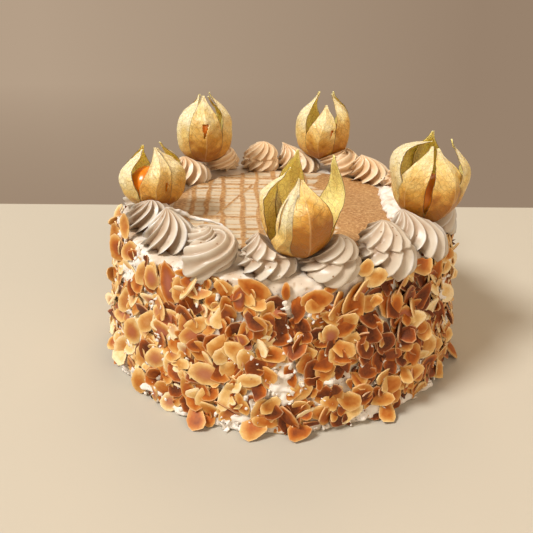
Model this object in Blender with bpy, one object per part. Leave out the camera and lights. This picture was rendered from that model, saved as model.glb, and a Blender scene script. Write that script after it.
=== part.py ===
"""Caramel torte: a cream-coated cake with toasted almond flakes round its side, a caramel
top drizzled into a lattice, a ring of piped cream rosettes and five physalis fruits.

Lengths are metres, +Z is up. The origin is the middle of the flat underside, and -Y is the
front. Angles round the cake are measured from +X towards +Y.
"""
import math
import random

import bmesh
import bpy
from mathutils import Matrix, Vector

MM = 0.001
GAP = 0.3 * MM                       # room left between touching pieces

# cream-coated torte
TORTE_HEIGHT = 69.0 * MM
FOOT_RADIUS = 88.5 * MM
RIM_RADIUS = 80.0 * MM
SIDE_CURVE = 1.25                    # the side leans in faster towards the rim
RIM_ROUNDING = 3.0 * MM
CREAM_WAVE = 0.5 * MM                # unevenness of the spread cream
TORTE_COLUMNS = 40
SIDE_ROWS = 4

# almond flakes pressed into the side
FLAKE_COUNT = 134
FLAKE_SIDES = 6
FLAKE_LENGTH = (13.0 * MM, 17.5 * MM)
FLAKE_WIDTH = (9.0 * MM, 12.0 * MM)
FLAKE_THICKNESS = 1.1 * MM
FLAKE_TILT = math.radians(30.0)      # most that a flake stands off the side
FLAKE_ZONE = (6.0 * MM, 60.0 * MM)
FLAKE_LOWEST = 0.4 * MM
FLAKE_HIGHEST = 67.5 * MM
FLAKE_SEED = 11

# caramel on top
CARAMEL_RADIUS = 57.0 * MM
CARAMEL_THICKNESS = 1.0 * MM
CARAMEL_WAVE = 0.6 * MM
CARAMEL_SIDES = 40
POOL_EDGE = 21.0 * MM                # x from which the caramel is unbroken
POOL_WAVE = 2.5 * MM
CELL_PITCH = (8.6 * MM, 12.4 * MM)   # openings of the lattice, along x and y
CELL_SIZE = (6.2 * MM, 9.6 * MM)
CELL_JITTER = 0.6 * MM
CELL_MARGIN = 2.5 * MM               # caramel left round the outermost openings
CELL_SEED = 5

# piped rosettes
ROSETTE_COUNT = 18
RING_RADIUS = 69.5 * MM
RING_SHIFT = 2.2 * MM                # the ring was piped a little towards +X
FIRST_ROSETTE = math.radians(-137.6)
ROSETTE_RADIUS = 11.9 * MM
ROSETTE_HEIGHT = 16.0 * MM
ROSETTE_RIDGES = 8
RIDGE_DEPTH = 0.18                   # share of the radius between crest and valley
RIDGE_TWIST = (math.radians(95.0), math.radians(190.0))
PEAK_LEAN = 3.2 * MM
ROSETTE_SEED = 3
ROSETTE_PROFILE = (                  # height and radius, as shares of the whole
    (0.00, 0.82), (0.17, 1.00), (0.42, 0.96),
    (0.64, 0.76), (0.82, 0.47), (0.94, 0.19),
)

# physalis fruits, each in its papery husk
HUSK_FOOT = 74.0 * MM                # height of the lowest point of a husk
HUSK_HEIGHT = 40.5 * MM              # from there to the tip of a lobe that stands straight
HUSK_RADIUS = 14.8 * MM
HUSK_WALL = 0.6 * MM
HUSK_KEEL = 0.08                     # how far a lobe's midrib stands out
HUSK_LOBES = 5
HUSK_COLUMNS = 4                     # strips across one lobe
HUSK_PROFILE = (                     # height and radius of each row, as shares of the whole
    (0.00, 0.00), (0.08, 0.70), (0.20, 0.92), (0.36, 1.00),
    (0.56, 0.98), (0.73, 0.83), (0.86, 0.45), (1.00, 0.04),
)
HUSK_SPLIT_ROW = 3                   # the lobes are free above this row
LOBE_SLIT = 0.10                     # share of a lobe's width lost to the slit beside it
LOBE_TAPER = 0.25                    # share of its width lost from there to the tip
BERRY_RADIUS = 8.7 * MM
BERRY_HEIGHT = 11.2 * MM             # its centre, above the husk's lowest point
BERRY_SEGMENTS = 10
BERRY_RINGS = 6
# Each husk's place on the ring (counted in rosettes, and its radius in mm), turn and lean in
# degrees, and width and height as shares of the sizes above. Then, lobe by lobe: how far it
# opens at the slit and curls on towards its tip, in degrees; how long it is above the slit;
# how far its tip swings round the husk, in degrees; and how wide it is.
HUSKS = (
    dict(
        gap=2.5, ring=67.5, turn=-60.0, lean=(0.0, 1.0), width=1.0, height=1.0,
        open=(8.0, 27.0, 7.0, 12.0, 8.0), curl=(-6.0, 6.0, 0.0, -3.0, 0.0),
        reach=(0.64, 0.75, 1.0, 0.74, 0.64), swing=(-5.0, 0.0, 10.0, 14.0, 20.0),
        breadth=(1.05, 0.8, 0.9, 1.0, 1.0)),
    dict(
        gap=5.59, ring=68.4, turn=-141.0, lean=(1.0, 1.0), width=1.0, height=1.0,
        open=(10.0, 8.0, 16.0, 6.0, 40.0), curl=(0.0, 0.0, -4.0, 0.0, -62.0),
        reach=(0.72, 0.70, 0.76, 0.98, 1.0), swing=(26.0, 16.0, 0.0, 14.0, -8.0),
        breadth=(1.0, 1.0, 0.85, 0.9, 1.0)),
    dict(
        gap=10.4, ring=68.2, turn=-105.0, lean=(0.0, -1.0), width=0.99, height=0.94,
        open=(8.0, 9.0, 11.0, 10.0, 7.0), curl=(0.0, 0.0, 0.0, 0.0, 0.0),
        reach=(0.74, 1.0, 1.0, 1.0, 1.03), swing=(24.0, 0.0, -18.0, 24.0, 8.0),
        breadth=(1.0, 1.0, 0.8, 0.8, 1.0)),
    dict(
        gap=13.5, ring=67.5, turn=-84.0, lean=(0.0, -1.0), width=1.02, height=1.0,
        open=(7.0, 9.0, 8.0, 7.0, 7.0), curl=(0.0, -2.0, 0.0, 0.0, 0.0),
        reach=(0.97, 1.02, 0.9, 0.97, 1.0), swing=(0.0, 0.0, -24.0, 0.0, 0.0),
        breadth=(1.0, 0.72, 0.6, 1.0, 1.0)),
    dict(
        gap=16.53, ring=64.5, turn=-83.0, lean=(-2.0, 0.0), width=0.96, height=0.86,
        open=(16.0, 12.0, 18.0, 18.0, 14.0), curl=(0.0, 0.0, 0.0, 0.0, 0.0),
        reach=(0.64, 0.62, 0.66, 0.60, 0.60), swing=(24.0, 0.0, -22.0, 7.0, 0.0),
        breadth=(0.9, 1.0, 0.9, 1.0, 0.9)),
)


def clear_scene():
    for item in list(bpy.data.objects):
        bpy.data.objects.remove(item, do_unlink=True)


def make_material(name, colour, roughness, metallic=0.0):
    material = bpy.data.materials.new(name)
    material.use_nodes = True
    shader = material.node_tree.nodes["Principled BSDF"]
    shader.inputs["Base Color"].default_value = (*colour, 1.0)
    shader.inputs["Roughness"].default_value = roughness
    shader.inputs["Metallic"].default_value = metallic
    return material


def add_object(name, points, faces, material=None, collection=None):
    """Makes one object from points and faces, shaded smooth with its sharp edges kept."""
    mesh = bpy.data.meshes.new(name)
    mesh.from_pydata([tuple(point) for point in points], [], faces)
    mesh.validate()
    shade(mesh)
    item = bpy.data.objects.new(name, mesh)
    if material is not None:
        mesh.materials.append(material)
    (collection or bpy.context.scene.collection).objects.link(item)
    return item


def shade(mesh):
    mesh.shade_smooth()
    mesh.set_sharp_from_angle(angle=math.radians(50.0))


def ring_strip(lower, upper, count):
    """Quads between two rings of the same count, facing out when the rings run anticlockwise."""
    return [
        (lower + j, lower + (j + 1) % count, upper + (j + 1) % count, upper + j)
        for j in range(count)
    ]


def apply_boolean(item, operation, solver, target=None, collection=None):
    """Applies one Boolean, then keeps the outer skin of the largest body alone."""
    modifier = item.modifiers.new("boolean", "BOOLEAN")
    modifier.operation = operation
    modifier.solver = solver
    if collection is not None:
        modifier.operand_type = "COLLECTION"
        modifier.collection = collection
    else:
        modifier.object = target
    bpy.context.view_layer.update()
    graph = bpy.context.evaluated_depsgraph_get()
    result = bpy.data.meshes.new_from_object(item.evaluated_get(graph))
    item.modifiers.clear()
    old = item.data
    item.data = result
    bpy.data.meshes.remove(old)
    keep_outer_skin(result)
    shade(result)


def keep_outer_skin(mesh):
    """Removes slivers, then every skin but the widest: sealed hollows and loose scraps."""
    work = bmesh.new()
    work.from_mesh(mesh)
    bmesh.ops.triangulate(work, faces=work.faces)
    bmesh.ops.remove_doubles(work, verts=work.verts, dist=0.004 * MM)
    bmesh.ops.dissolve_degenerate(work, edges=work.edges, dist=0.004 * MM)
    bmesh.ops.triangulate(work, faces=work.faces)
    unseen = set(work.faces)
    skins = []
    while unseen:
        skin = {unseen.pop()}
        front = list(skin)
        while front:
            near = {face for edge in front.pop().edges for face in edge.link_faces}
            fresh = near & unseen
            unseen -= fresh
            skin |= fresh
            front.extend(fresh)
        skins.append(skin)
    widest = max(skins, key=lambda skin: sum(face.calc_area() for face in skin))
    scraps = [face for skin in skins if skin is not widest for face in skin]
    bmesh.ops.delete(work, geom=scraps, context="FACES")
    work.to_mesh(mesh)
    work.free()


# ---------------------------------------------------------------- cream-coated torte

def side_radius(angle, height):
    """Radius of the cream at an angle and height: a taper plus the waves of the spreading."""
    share = height / TORTE_HEIGHT
    taper = FOOT_RADIUS - (FOOT_RADIUS - RIM_RADIUS) * share ** SIDE_CURVE
    wave = math.sin(3.0 * angle + 1.1) + 0.7 * math.sin(7.0 * angle + 5.0 * share)
    return taper + CREAM_WAVE * wave


def torte_rings():
    """Height and inset from the side of each ring, from the foot up over the rounded rim."""
    foot = [(0.0, 0.8 * MM), (0.8 * MM, 0.0)]
    top_of_side = TORTE_HEIGHT - RIM_ROUNDING
    side = [(top_of_side * row / SIDE_ROWS, 0.0) for row in range(1, SIDE_ROWS + 1)]
    rim = []
    for step in (30.0, 60.0, 90.0):
        turn = math.radians(step)
        lift = RIM_ROUNDING * math.sin(turn)
        rim.append((top_of_side + lift, RIM_ROUNDING * (1.0 - math.cos(turn))))
    return foot + side + rim


def make_torte(material):
    points = []
    faces = []
    rings = torte_rings()
    for height, inset in rings:
        for column in range(TORTE_COLUMNS):
            angle = 2.0 * math.pi * column / TORTE_COLUMNS
            radius = side_radius(angle, height) - inset
            points.append((radius * math.cos(angle), radius * math.sin(angle), height))
    for row in range(len(rings) - 1):
        faces += ring_strip(row * TORTE_COLUMNS, (row + 1) * TORTE_COLUMNS, TORTE_COLUMNS)
    last = (len(rings) - 1) * TORTE_COLUMNS
    faces.append(tuple(range(TORTE_COLUMNS - 1, -1, -1)))
    faces.append(tuple(range(last, last + TORTE_COLUMNS)))
    return add_object("cream_torte", points, faces, material)


# ---------------------------------------------------------------- almond flakes

def flake_points(length, width):
    """Outline of a sliced almond, one end more pointed, as an upper and a lower ring."""
    upper, lower = [], []
    for corner in range(FLAKE_SIDES):
        angle = 2.0 * math.pi * corner / FLAKE_SIDES
        along = 0.5 * length * math.cos(angle)
        across = 0.5 * width * math.sin(angle) * (1.0 - 0.18 * math.cos(angle))
        lower.append(Vector((along, across, -0.5 * FLAKE_THICKNESS)))
        upper.append(Vector((along, across, 0.5 * FLAKE_THICKNESS)))
    return lower + upper


def flake_faces():
    faces = ring_strip(0, FLAKE_SIDES, FLAKE_SIDES)
    faces.append(tuple(range(FLAKE_SIDES - 1, -1, -1)))
    faces.append(tuple(range(FLAKE_SIDES, 2 * FLAKE_SIDES)))
    return faces


def side_frame(angle, height):
    """Matrix whose Z axis points out of the side, Y up it and X along it."""
    out = Vector((math.cos(angle), math.sin(angle), 0.12)).normalized()
    along = Vector((-math.sin(angle), math.cos(angle), 0.0))
    up = out.cross(along)
    radius = side_radius(angle, height)
    place = Vector((radius * math.cos(angle), radius * math.sin(angle), height))
    frame = Matrix((along, up, out)).transposed().to_4x4()
    return Matrix.Translation(place) @ frame


def make_flakes(collection):
    """Flakes at the golden angle from one another, so that they spread evenly."""
    draw = random.Random(FLAKE_SEED)
    golden_angle = math.pi * (3.0 - math.sqrt(5.0))
    low, high = FLAKE_ZONE
    for index in range(FLAKE_COUNT):
        angle = index * golden_angle + draw.uniform(-0.04, 0.04)
        height = low + (high - low) * (index + draw.random()) / FLAKE_COUNT
        points = flake_points(draw.uniform(*FLAKE_LENGTH), draw.uniform(*FLAKE_WIDTH))
        tilt = draw.uniform(0.2, 1.0) * FLAKE_TILT
        spin = draw.uniform(0.0, 2.0 * math.pi)
        tilt_axis = draw.uniform(0.0, 2.0 * math.pi)
        stand = 0.5 * FLAKE_THICKNESS * (0.2 + 1.6 * tilt / FLAKE_TILT)
        turn = Matrix.Rotation(tilt, 4, (math.cos(tilt_axis), math.sin(tilt_axis), 0.0))
        pose = side_frame(angle, height) @ Matrix.Translation((0.0, 0.0, stand))
        pose = pose @ turn @ Matrix.Rotation(spin, 4, "Z")
        points = [pose @ point for point in points]
        lift = max(0.0, FLAKE_LOWEST - min(point.z for point in points))
        lift += min(0.0, FLAKE_HIGHEST - max(point.z for point in points))
        points = [point + Vector((0.0, 0.0, lift)) for point in points]
        add_object("flake_%03d" % index, points, flake_faces(), None, collection)


def fuse_flakes(torte):
    """Joins the flakes to the cream in one union and removes the loose ones."""
    flakes = bpy.data.collections.new("almond_flakes")
    bpy.context.scene.collection.children.link(flakes)
    make_flakes(flakes)
    apply_boolean(torte, "UNION", "MANIFOLD", collection=flakes)
    for flake in list(flakes.objects):
        bpy.data.objects.remove(flake, do_unlink=True)
    bpy.data.collections.remove(flakes)


# ---------------------------------------------------------------- caramel top

def prism(outline, low, high):
    """Points and faces of an upright prism over an anticlockwise outline."""
    count = len(outline)
    points = [(x, y, low) for x, y in outline] + [(x, y, high) for x, y in outline]
    faces = ring_strip(0, count, count)
    faces.append(tuple(range(count - 1, -1, -1)))
    faces.append(tuple(range(count, 2 * count)))
    return points, faces


def caramel_outline():
    outline = []
    for corner in range(CARAMEL_SIDES):
        angle = 2.0 * math.pi * corner / CARAMEL_SIDES
        radius = CARAMEL_RADIUS + CARAMEL_WAVE * math.sin(5.0 * angle + 0.6)
        outline.append((RING_SHIFT + radius * math.cos(angle), radius * math.sin(angle)))
    return outline


def lattice_cells():
    """Four-sided openings on a skewed grid, kept inside the caramel's edge."""
    draw = random.Random(CELL_SEED)
    reach = CARAMEL_RADIUS - CARAMEL_WAVE - CELL_MARGIN
    pitch_x, pitch_y = CELL_PITCH
    half_x, half_y = 0.5 * CELL_SIZE[0], 0.5 * CELL_SIZE[1]
    cells = []
    for row in range(-5, 6):
        for column in range(1, 12):
            x = POOL_EDGE - pitch_x * (column - 0.5) + 0.5 * MM * math.sin(1.7 * row)
            y = pitch_y * row + 0.8 * MM * math.sin(0.8 * column)
            cell = []
            for side_x, side_y in ((-1, -1), (1, -1), (1, 1), (-1, 1)):
                corner_x = x + side_x * half_x + draw.uniform(-1.0, 1.0) * CELL_JITTER
                corner_y = y + side_y * half_y + draw.uniform(-1.0, 1.0) * CELL_JITTER
                cell.append((corner_x, corner_y))
            inside = max(math.hypot(px - RING_SHIFT, py) for px, py in cell) < reach
            if inside and x < POOL_EDGE - POOL_WAVE * (1.0 + math.sin(1.9 * row)):
                cells.append(cell)
    return cells


def make_caramel(material):
    """A thin plate of caramel whose left part is opened into a lattice."""
    low = TORTE_HEIGHT + GAP
    high = low + CARAMEL_THICKNESS
    points, faces = prism(caramel_outline(), low, high)
    caramel = add_object("caramel_top", points, faces, material)
    openings = bpy.data.collections.new("openings")
    bpy.context.scene.collection.children.link(openings)
    for index, cell in enumerate(lattice_cells()):
        points, faces = prism(cell, low - MM, high + MM)
        add_object("opening_%02d" % index, points, faces, None, openings)
    apply_boolean(caramel, "DIFFERENCE", "EXACT", collection=openings)
    for opening in list(openings.objects):
        bpy.data.objects.remove(opening, do_unlink=True)
    bpy.data.collections.remove(openings)
    return caramel


# ---------------------------------------------------------------- physalis

def husk_pose(index):
    """Where a husk stands on the ring, turned and leaning."""
    husk = HUSKS[index]
    angle = FIRST_ROSETTE + 2.0 * math.pi / ROSETTE_COUNT * husk["gap"]
    place = Vector((
        RING_SHIFT + husk["ring"] * MM * math.cos(angle),
        husk["ring"] * MM * math.sin(angle),
        HUSK_FOOT,
    ))
    lean_x, lean_y = husk["lean"]
    lean = Matrix.Rotation(math.radians(lean_x), 4, "Y") @ Matrix.Rotation(math.radians(-lean_y), 4, "X")
    return Matrix.Translation(place) @ lean


def free_share(share):
    """Share of the way from the end of the slits up to the tips, and 0 below the slits."""
    split = HUSK_PROFILE[HUSK_SPLIT_ROW][0]
    return max(0.0, (share - split) / (1.0 - split))


def lobe_path(husk, lobe):
    """Radius, shift outwards and height of a lobe's rows.

    Each step up the profile is turned outwards by the lobe's opening and curl, so that the
    lobe bends like a strip of paper and keeps its length.
    """
    path = [(0.0, 0.0, 0.0)]
    out = up = 0.0
    for row in range(1, len(HUSK_PROFILE)):
        (low_share, low_width), (share, width) = HUSK_PROFILE[row - 1:row + 1]
        step_out = husk["width"] * HUSK_RADIUS * (width - low_width)
        step_up = husk["height"] * HUSK_HEIGHT * (share - low_share)
        bend = 0.0
        if row > HUSK_SPLIT_ROW:
            free = free_share(0.5 * (low_share + share))
            bend = math.radians(
                husk["open"][lobe] * min(1.0, 4.0 * free) + husk["curl"][lobe] * free ** 1.5)
            step_up *= husk["reach"][lobe]
        out += step_out * math.cos(bend) + step_up * math.sin(bend)
        up += step_up * math.cos(bend) - step_out * math.sin(bend)
        radius = husk["width"] * HUSK_RADIUS * width
        path.append((radius, out - radius, up))
    return path


def husk_point(path, row, lobe, column, husk):
    """Outer point of a husk: an arc across the lobe, creased at its midrib."""
    radius, shift, up = path[row]
    offset = 2.0 * column / HUSK_COLUMNS - 1.0
    free = free_share(HUSK_PROFILE[row][0])
    breadth = 1.0
    if row > HUSK_SPLIT_ROW:
        breadth = min(1.0, husk["breadth"][lobe]) - LOBE_SLIT - LOBE_TAPER * free
    spread = offset * breadth * math.pi / HUSK_LOBES
    radius *= 1.0 + HUSK_KEEL * (1.0 - abs(offset))
    out = shift + radius * math.cos(spread)
    side = radius * math.sin(spread)
    turn = husk["turn"] + 360.0 * lobe / HUSK_LOBES + husk["swing"][lobe] * free ** 1.5
    turn = math.radians(turn)
    return Vector((
        out * math.cos(turn) - side * math.sin(turn),
        out * math.sin(turn) + side * math.cos(turn),
        up,
    ))


def husk_key(row, lobe, column):
    """Name of a husk's point: lobes share their edges up to the slits, and a tip is one point."""
    tip_row = len(HUSK_PROFILE) - 1
    if row == 0:
        return (0, 0)
    if row == tip_row:
        return (row, lobe * (HUSK_COLUMNS + 1))
    if row <= HUSK_SPLIT_ROW:
        return (row, (lobe * HUSK_COLUMNS + column) % (HUSK_LOBES * HUSK_COLUMNS))
    return (row, lobe * (HUSK_COLUMNS + 1) + column)


def husk_skin(husk):
    """Outer points by key, and the faces over them as tuples of keys."""
    points = {}
    faces = []
    rows = len(HUSK_PROFILE)
    for lobe in range(HUSK_LOBES):
        path = lobe_path(husk, lobe)
        for row in range(rows):
            for column in range(HUSK_COLUMNS + 1):
                at = HUSK_COLUMNS // 2 if row == rows - 1 else column
                point = husk_point(path, row, lobe, at, husk)
                points.setdefault(husk_key(row, lobe, column), point)
        for row in range(rows - 1):
            for column in range(HUSK_COLUMNS):
                corners = (
                    husk_key(row, lobe, column), husk_key(row, lobe, column + 1),
                    husk_key(row + 1, lobe, column + 1), husk_key(row + 1, lobe, column),
                )
                faces += split_quad(corners, 2 * column < HUSK_COLUMNS)
    return points, faces


def split_quad(corners, rising):
    """Two triangles of a quad, so that both skins of the husk are split alike."""
    a, b, c, d = corners
    halves = [(a, b, c), (a, c, d)] if rising else [(a, b, d), (b, c, d)]
    return [half for half in halves if len(set(half)) == 3]


def skin_normals(points, faces):
    normals = {key: Vector((0.0, 0.0, 0.0)) for key in points}
    for face in faces:
        a, b, c = (points[key] for key in (face[0], face[1], face[-1]))
        across = (b - a).cross(c - a)
        for key in face:
            normals[key] += across
    return {key: normal.normalized() for key, normal in normals.items()}


def make_husk(index, material):
    """A thin shell: the skin, a copy set inwards, and walls along the edges of the lobes."""
    husk = HUSKS[index]
    skin, skin_faces = husk_skin(husk)
    normals = skin_normals(skin, skin_faces)
    order = {key: number for number, key in enumerate(skin)}
    count = len(order)
    pose = husk_pose(index)
    points = [pose @ point for point in skin.values()]
    points += [pose @ (skin[key] - HUSK_WALL * normals[key]) for key in skin]
    faces = [tuple(order[key] for key in face) for face in skin_faces]
    faces += [tuple(order[key] + count for key in reversed(face)) for face in skin_faces]
    for lobe in range(HUSK_LOBES):
        for row in range(HUSK_SPLIT_ROW, len(HUSK_PROFILE) - 1):
            for column, forward in ((0, False), (HUSK_COLUMNS, True)):
                a = order[husk_key(row, lobe, column)]
                b = order[husk_key(row + 1, lobe, column)]
                wall = (a + count, b + count, b, a)
                faces.append(wall if forward else tuple(reversed(wall)))
    return add_object("physalis_husk_%d" % (index + 1), points, faces, material)


def make_berry(index, material):
    work = bmesh.new()
    bmesh.ops.create_uvsphere(
        work, u_segments=BERRY_SEGMENTS, v_segments=BERRY_RINGS, radius=BERRY_RADIUS)
    mesh = bpy.data.meshes.new("physalis_berry_%d" % (index + 1))
    work.transform(husk_pose(index) @ Matrix.Translation((0.0, 0.0, BERRY_HEIGHT)))
    work.to_mesh(mesh)
    work.free()
    shade(mesh)
    mesh.materials.append(material)
    berry = bpy.data.objects.new(mesh.name, mesh)
    bpy.context.scene.collection.objects.link(berry)
    return berry


def make_husk_hollow(index):
    """The closed husk with the gap round it, which presses its dent into the rosettes."""
    columns = 14
    husk = HUSKS[index]
    rings = HUSK_PROFILE[1:HUSK_SPLIT_ROW + 2]
    points = [(0.0, 0.0, -GAP)]
    for share, width in rings:
        radius = husk["width"] * HUSK_RADIUS * width * (1.0 + HUSK_KEEL) + 2.0 * GAP
        radius /= math.cos(math.pi / columns)
        height = husk["height"] * HUSK_HEIGHT * share - GAP
        for column in range(columns):
            angle = 2.0 * math.pi * column / columns
            points.append((radius * math.cos(angle), radius * math.sin(angle), height))
    faces = [(0, 1 + (j + 1) % columns, 1 + j) for j in range(columns)]
    for row in range(len(rings) - 1):
        faces += ring_strip(1 + row * columns, 1 + (row + 1) * columns, columns)
    last = 1 + (len(rings) - 1) * columns
    faces.append(tuple(range(last, last + columns)))
    pose = husk_pose(index)
    hollow = add_object("hollow_%d" % (index + 1), [pose @ Vector(p) for p in points], faces)
    hollow.hide_render = True
    hollow.display_type = "WIRE"
    return hollow


# ---------------------------------------------------------------- rosettes

def rosette_centre(index):
    angle = FIRST_ROSETTE + 2.0 * math.pi / ROSETTE_COUNT * index
    return Vector((
        RING_SHIFT + RING_RADIUS * math.cos(angle),
        RING_RADIUS * math.sin(angle),
        TORTE_HEIGHT + GAP,
    ))


def husks_beside(index):
    """Husks that stand in the gap on either side of a rosette."""
    half = 0.5 * ROSETTE_COUNT
    return [
        number for number, husk in enumerate(HUSKS)
        if abs((husk["gap"] - index + half) % ROSETTE_COUNT - half) < 1.0
    ]


def lean_direction(index, draw):
    """A peak leans anywhere, but away from a husk that was pushed in beside it."""
    beside = husks_beside(index)
    if not beside:
        return draw.uniform(0.0, 2.0 * math.pi)
    away = rosette_centre(index) - husk_pose(beside[0]).translation
    return math.atan2(away.y, away.x)


def make_rosette(index, draw, material):
    """A mound with star-shaped rings, each turned on from the one below, and a pulled peak."""
    columns = 2 * ROSETTE_RIDGES
    twist = draw.uniform(*RIDGE_TWIST)
    phase = draw.uniform(0.0, 2.0 * math.pi)
    size = draw.uniform(0.97, 1.0)
    tall = ROSETTE_HEIGHT * draw.uniform(0.86, 1.0)
    leaning = lean_direction(index, draw)
    centre = rosette_centre(index)
    points = []
    for share, width in ROSETTE_PROFILE:
        shift = PEAK_LEAN * share ** 2.5
        middle = centre + Vector((shift * math.cos(leaning), shift * math.sin(leaning), tall * share))
        for column in range(columns):
            angle = phase + twist * share + 2.0 * math.pi * column / columns
            depth = RIDGE_DEPTH if column % 2 else 0.0
            radius = size * ROSETTE_RADIUS * width * (1.0 - depth)
            points.append(middle + radius * Vector((math.cos(angle), math.sin(angle), 0.0)))
    peak = centre + Vector((PEAK_LEAN * math.cos(leaning), PEAK_LEAN * math.sin(leaning), tall))
    points.append(peak)
    faces = [tuple(range(columns - 1, -1, -1))]
    for row in range(len(ROSETTE_PROFILE) - 1):
        faces += ring_strip(row * columns, (row + 1) * columns, columns)
    last = (len(ROSETTE_PROFILE) - 1) * columns
    faces += [(last + j, last + (j + 1) % columns, last + columns) for j in range(columns)]
    return add_object("rosette_%02d" % (index + 1), points, faces, material)


def make_rosettes(material):
    draw = random.Random(ROSETTE_SEED)
    for index in range(ROSETTE_COUNT):
        rosette = make_rosette(index, draw, material)
        for number in husks_beside(index):
            hollow = make_husk_hollow(number)
            apply_boolean(rosette, "DIFFERENCE", "EXACT", target=hollow)
            bpy.data.objects.remove(hollow, do_unlink=True)


def main():
    clear_scene()
    cream = make_material("coffee_buttercream", (0.80, 0.66, 0.50), 0.55)
    coat = make_material("almond_coated_cream", (0.68, 0.42, 0.19), 0.55)
    caramel = make_material("caramel", (0.56, 0.31, 0.12), 0.35)
    husk = make_material("dry_husk", (0.66, 0.45, 0.13), 0.6)
    berry = make_material("physalis_skin", (0.85, 0.25, 0.02), 0.25)
    fuse_flakes(make_torte(coat))
    make_caramel(caramel)
    make_rosettes(cream)
    for index in range(len(HUSKS)):
        make_husk(index, husk)
        make_berry(index, berry)


main()
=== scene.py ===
import math
import random

import bpy
import numpy as np
from mathutils import Matrix, Vector


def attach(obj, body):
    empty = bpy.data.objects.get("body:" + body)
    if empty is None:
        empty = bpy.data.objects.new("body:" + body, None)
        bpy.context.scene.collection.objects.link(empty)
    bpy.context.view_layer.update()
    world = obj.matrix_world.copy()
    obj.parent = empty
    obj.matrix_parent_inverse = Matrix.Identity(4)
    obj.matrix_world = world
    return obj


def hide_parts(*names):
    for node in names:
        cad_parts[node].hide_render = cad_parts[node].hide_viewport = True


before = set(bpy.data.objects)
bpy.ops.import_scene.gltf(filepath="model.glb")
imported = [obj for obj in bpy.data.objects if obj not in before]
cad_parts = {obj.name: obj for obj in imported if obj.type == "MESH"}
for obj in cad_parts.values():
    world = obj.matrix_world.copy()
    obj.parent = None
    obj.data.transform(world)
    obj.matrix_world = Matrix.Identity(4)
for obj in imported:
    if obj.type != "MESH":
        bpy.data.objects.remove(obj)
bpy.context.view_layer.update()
mm = 0.001
anyTurn = 6.3  # random turns go once round


# colours and nodes

def toLinear(code):  # an sRGB hex value as linear light
    value = np.array([int(code[i:i + 2], 16) for i in (1, 3, 5)]) / 255.0
    value = np.where(value <= 0.04045, value / 12.92, ((value + 0.055) / 1.055) ** 2.4)
    return (*value.tolist(), 1.0)


def setInputs(tree, node, inputs):
    # each socket gets a number, an sRGB hex value or the output of another node
    for socket, value in inputs.items():
        if isinstance(value, bpy.types.NodeSocket):
            tree.links.new(value, node.inputs[socket])
        else:
            node.inputs[socket].default_value = toLinear(value) if isinstance(value, str) else value


def addNode(tree, kind, inputs, out=0, stops=(), **settings):
    # one node with its own settings, its inputs and its colour stops; gives back one output
    node = tree.nodes.new("ShaderNode" + kind)
    for name, value in settings.items():
        setattr(node, name, value)
    setInputs(tree, node, inputs)
    for index, (place, colour) in enumerate(stops):
        ramp = node.color_ramp.elements
        stop = ramp[index] if index < len(ramp) else ramp.new(place)
        stop.position = place
        stop.color = toLinear(colour)
    return node.outputs[out]


def newMaterial(name):  # with its node tree, its shader and the place of each shaded point
    material = bpy.data.materials.new(name)
    material.use_nodes = True
    tree = material.node_tree
    return material, tree, tree.nodes["Principled BSDF"], addNode(tree, "TexCoord", {}, "Object")


# settings of a Mix node for colours (its inputs 0, 6 and 7 are share, first and second) and the
# place of its output
colourMix = dict(out=2, data_type="RGBA")


# numbers and grids

def lattice(cells, seed):  # one repeatable random number from 0 to 1 for each whole-number cell
    x, y, z = (cells[..., i].astype(np.int64) for i in range(3))
    mixed = (x * 73856093) ^ (y * 19349663) ^ (z * 83492791) ^ (seed * 2654435761)
    mixed = (mixed ^ (mixed >> 13)) * 1274126177
    mixed = mixed ^ (mixed >> 16)
    return (mixed & 0xFFFFF) / float(0xFFFFF)


def cloud(points, size, seed):
    # smooth noise from -1 to 1: random corners of cells of one size, blended by a smooth step
    spot = points / size
    base = np.floor(spot)
    part = spot - base
    part = part * part * (3.0 - 2.0 * part)
    total = np.zeros(points.shape[:-1])
    for corner in range(8):
        step = np.array([(corner >> i) & 1 for i in range(3)])
        weight = np.prod(np.where(step, part, 1.0 - part), axis=-1)
        total += weight * lattice(base + step, seed)
    return 2.0 * total - 1.0


def smoothStep(low, high, value):
    # 0 at low, 1 at high, between them three times the square less twice the cube
    share = np.clip((value - low) / (high - low), 0.0, 1.0)
    return share * share * (3.0 - 2.0 * share)


def gridFaces(rows, columns, closed):
    # quads of a grid stored row after row; closed joins the last column to the first
    across = np.arange(columns if closed else columns - 1)
    start = np.arange(rows - 1)[:, None] * columns
    a = start + across
    b = start + (across + 1) % columns
    return np.stack([a, b, b + columns, a + columns], axis=-1).reshape(-1, 4)


def tubeFaces(rows, columns):
    # a closed grid, and fans that join its first and last rows to the two points stored after it
    near = np.arange(columns)
    far = (near + 1) % columns
    last = rows * columns
    first = np.stack([far, near, np.full(columns, last)], axis=-1)
    final = np.stack([last - columns + near, last - columns + far, np.full(columns, last + 1)], axis=-1)
    return [gridFaces(rows, columns, True), first, final]


def repeatFaces(groups, count, each):  # the same faces for many shapes stored one after another
    start = (each * np.arange(count))[:, None, None]
    return [(group[None] + start).reshape(-1, group.shape[-1]) for group in groups]


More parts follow.
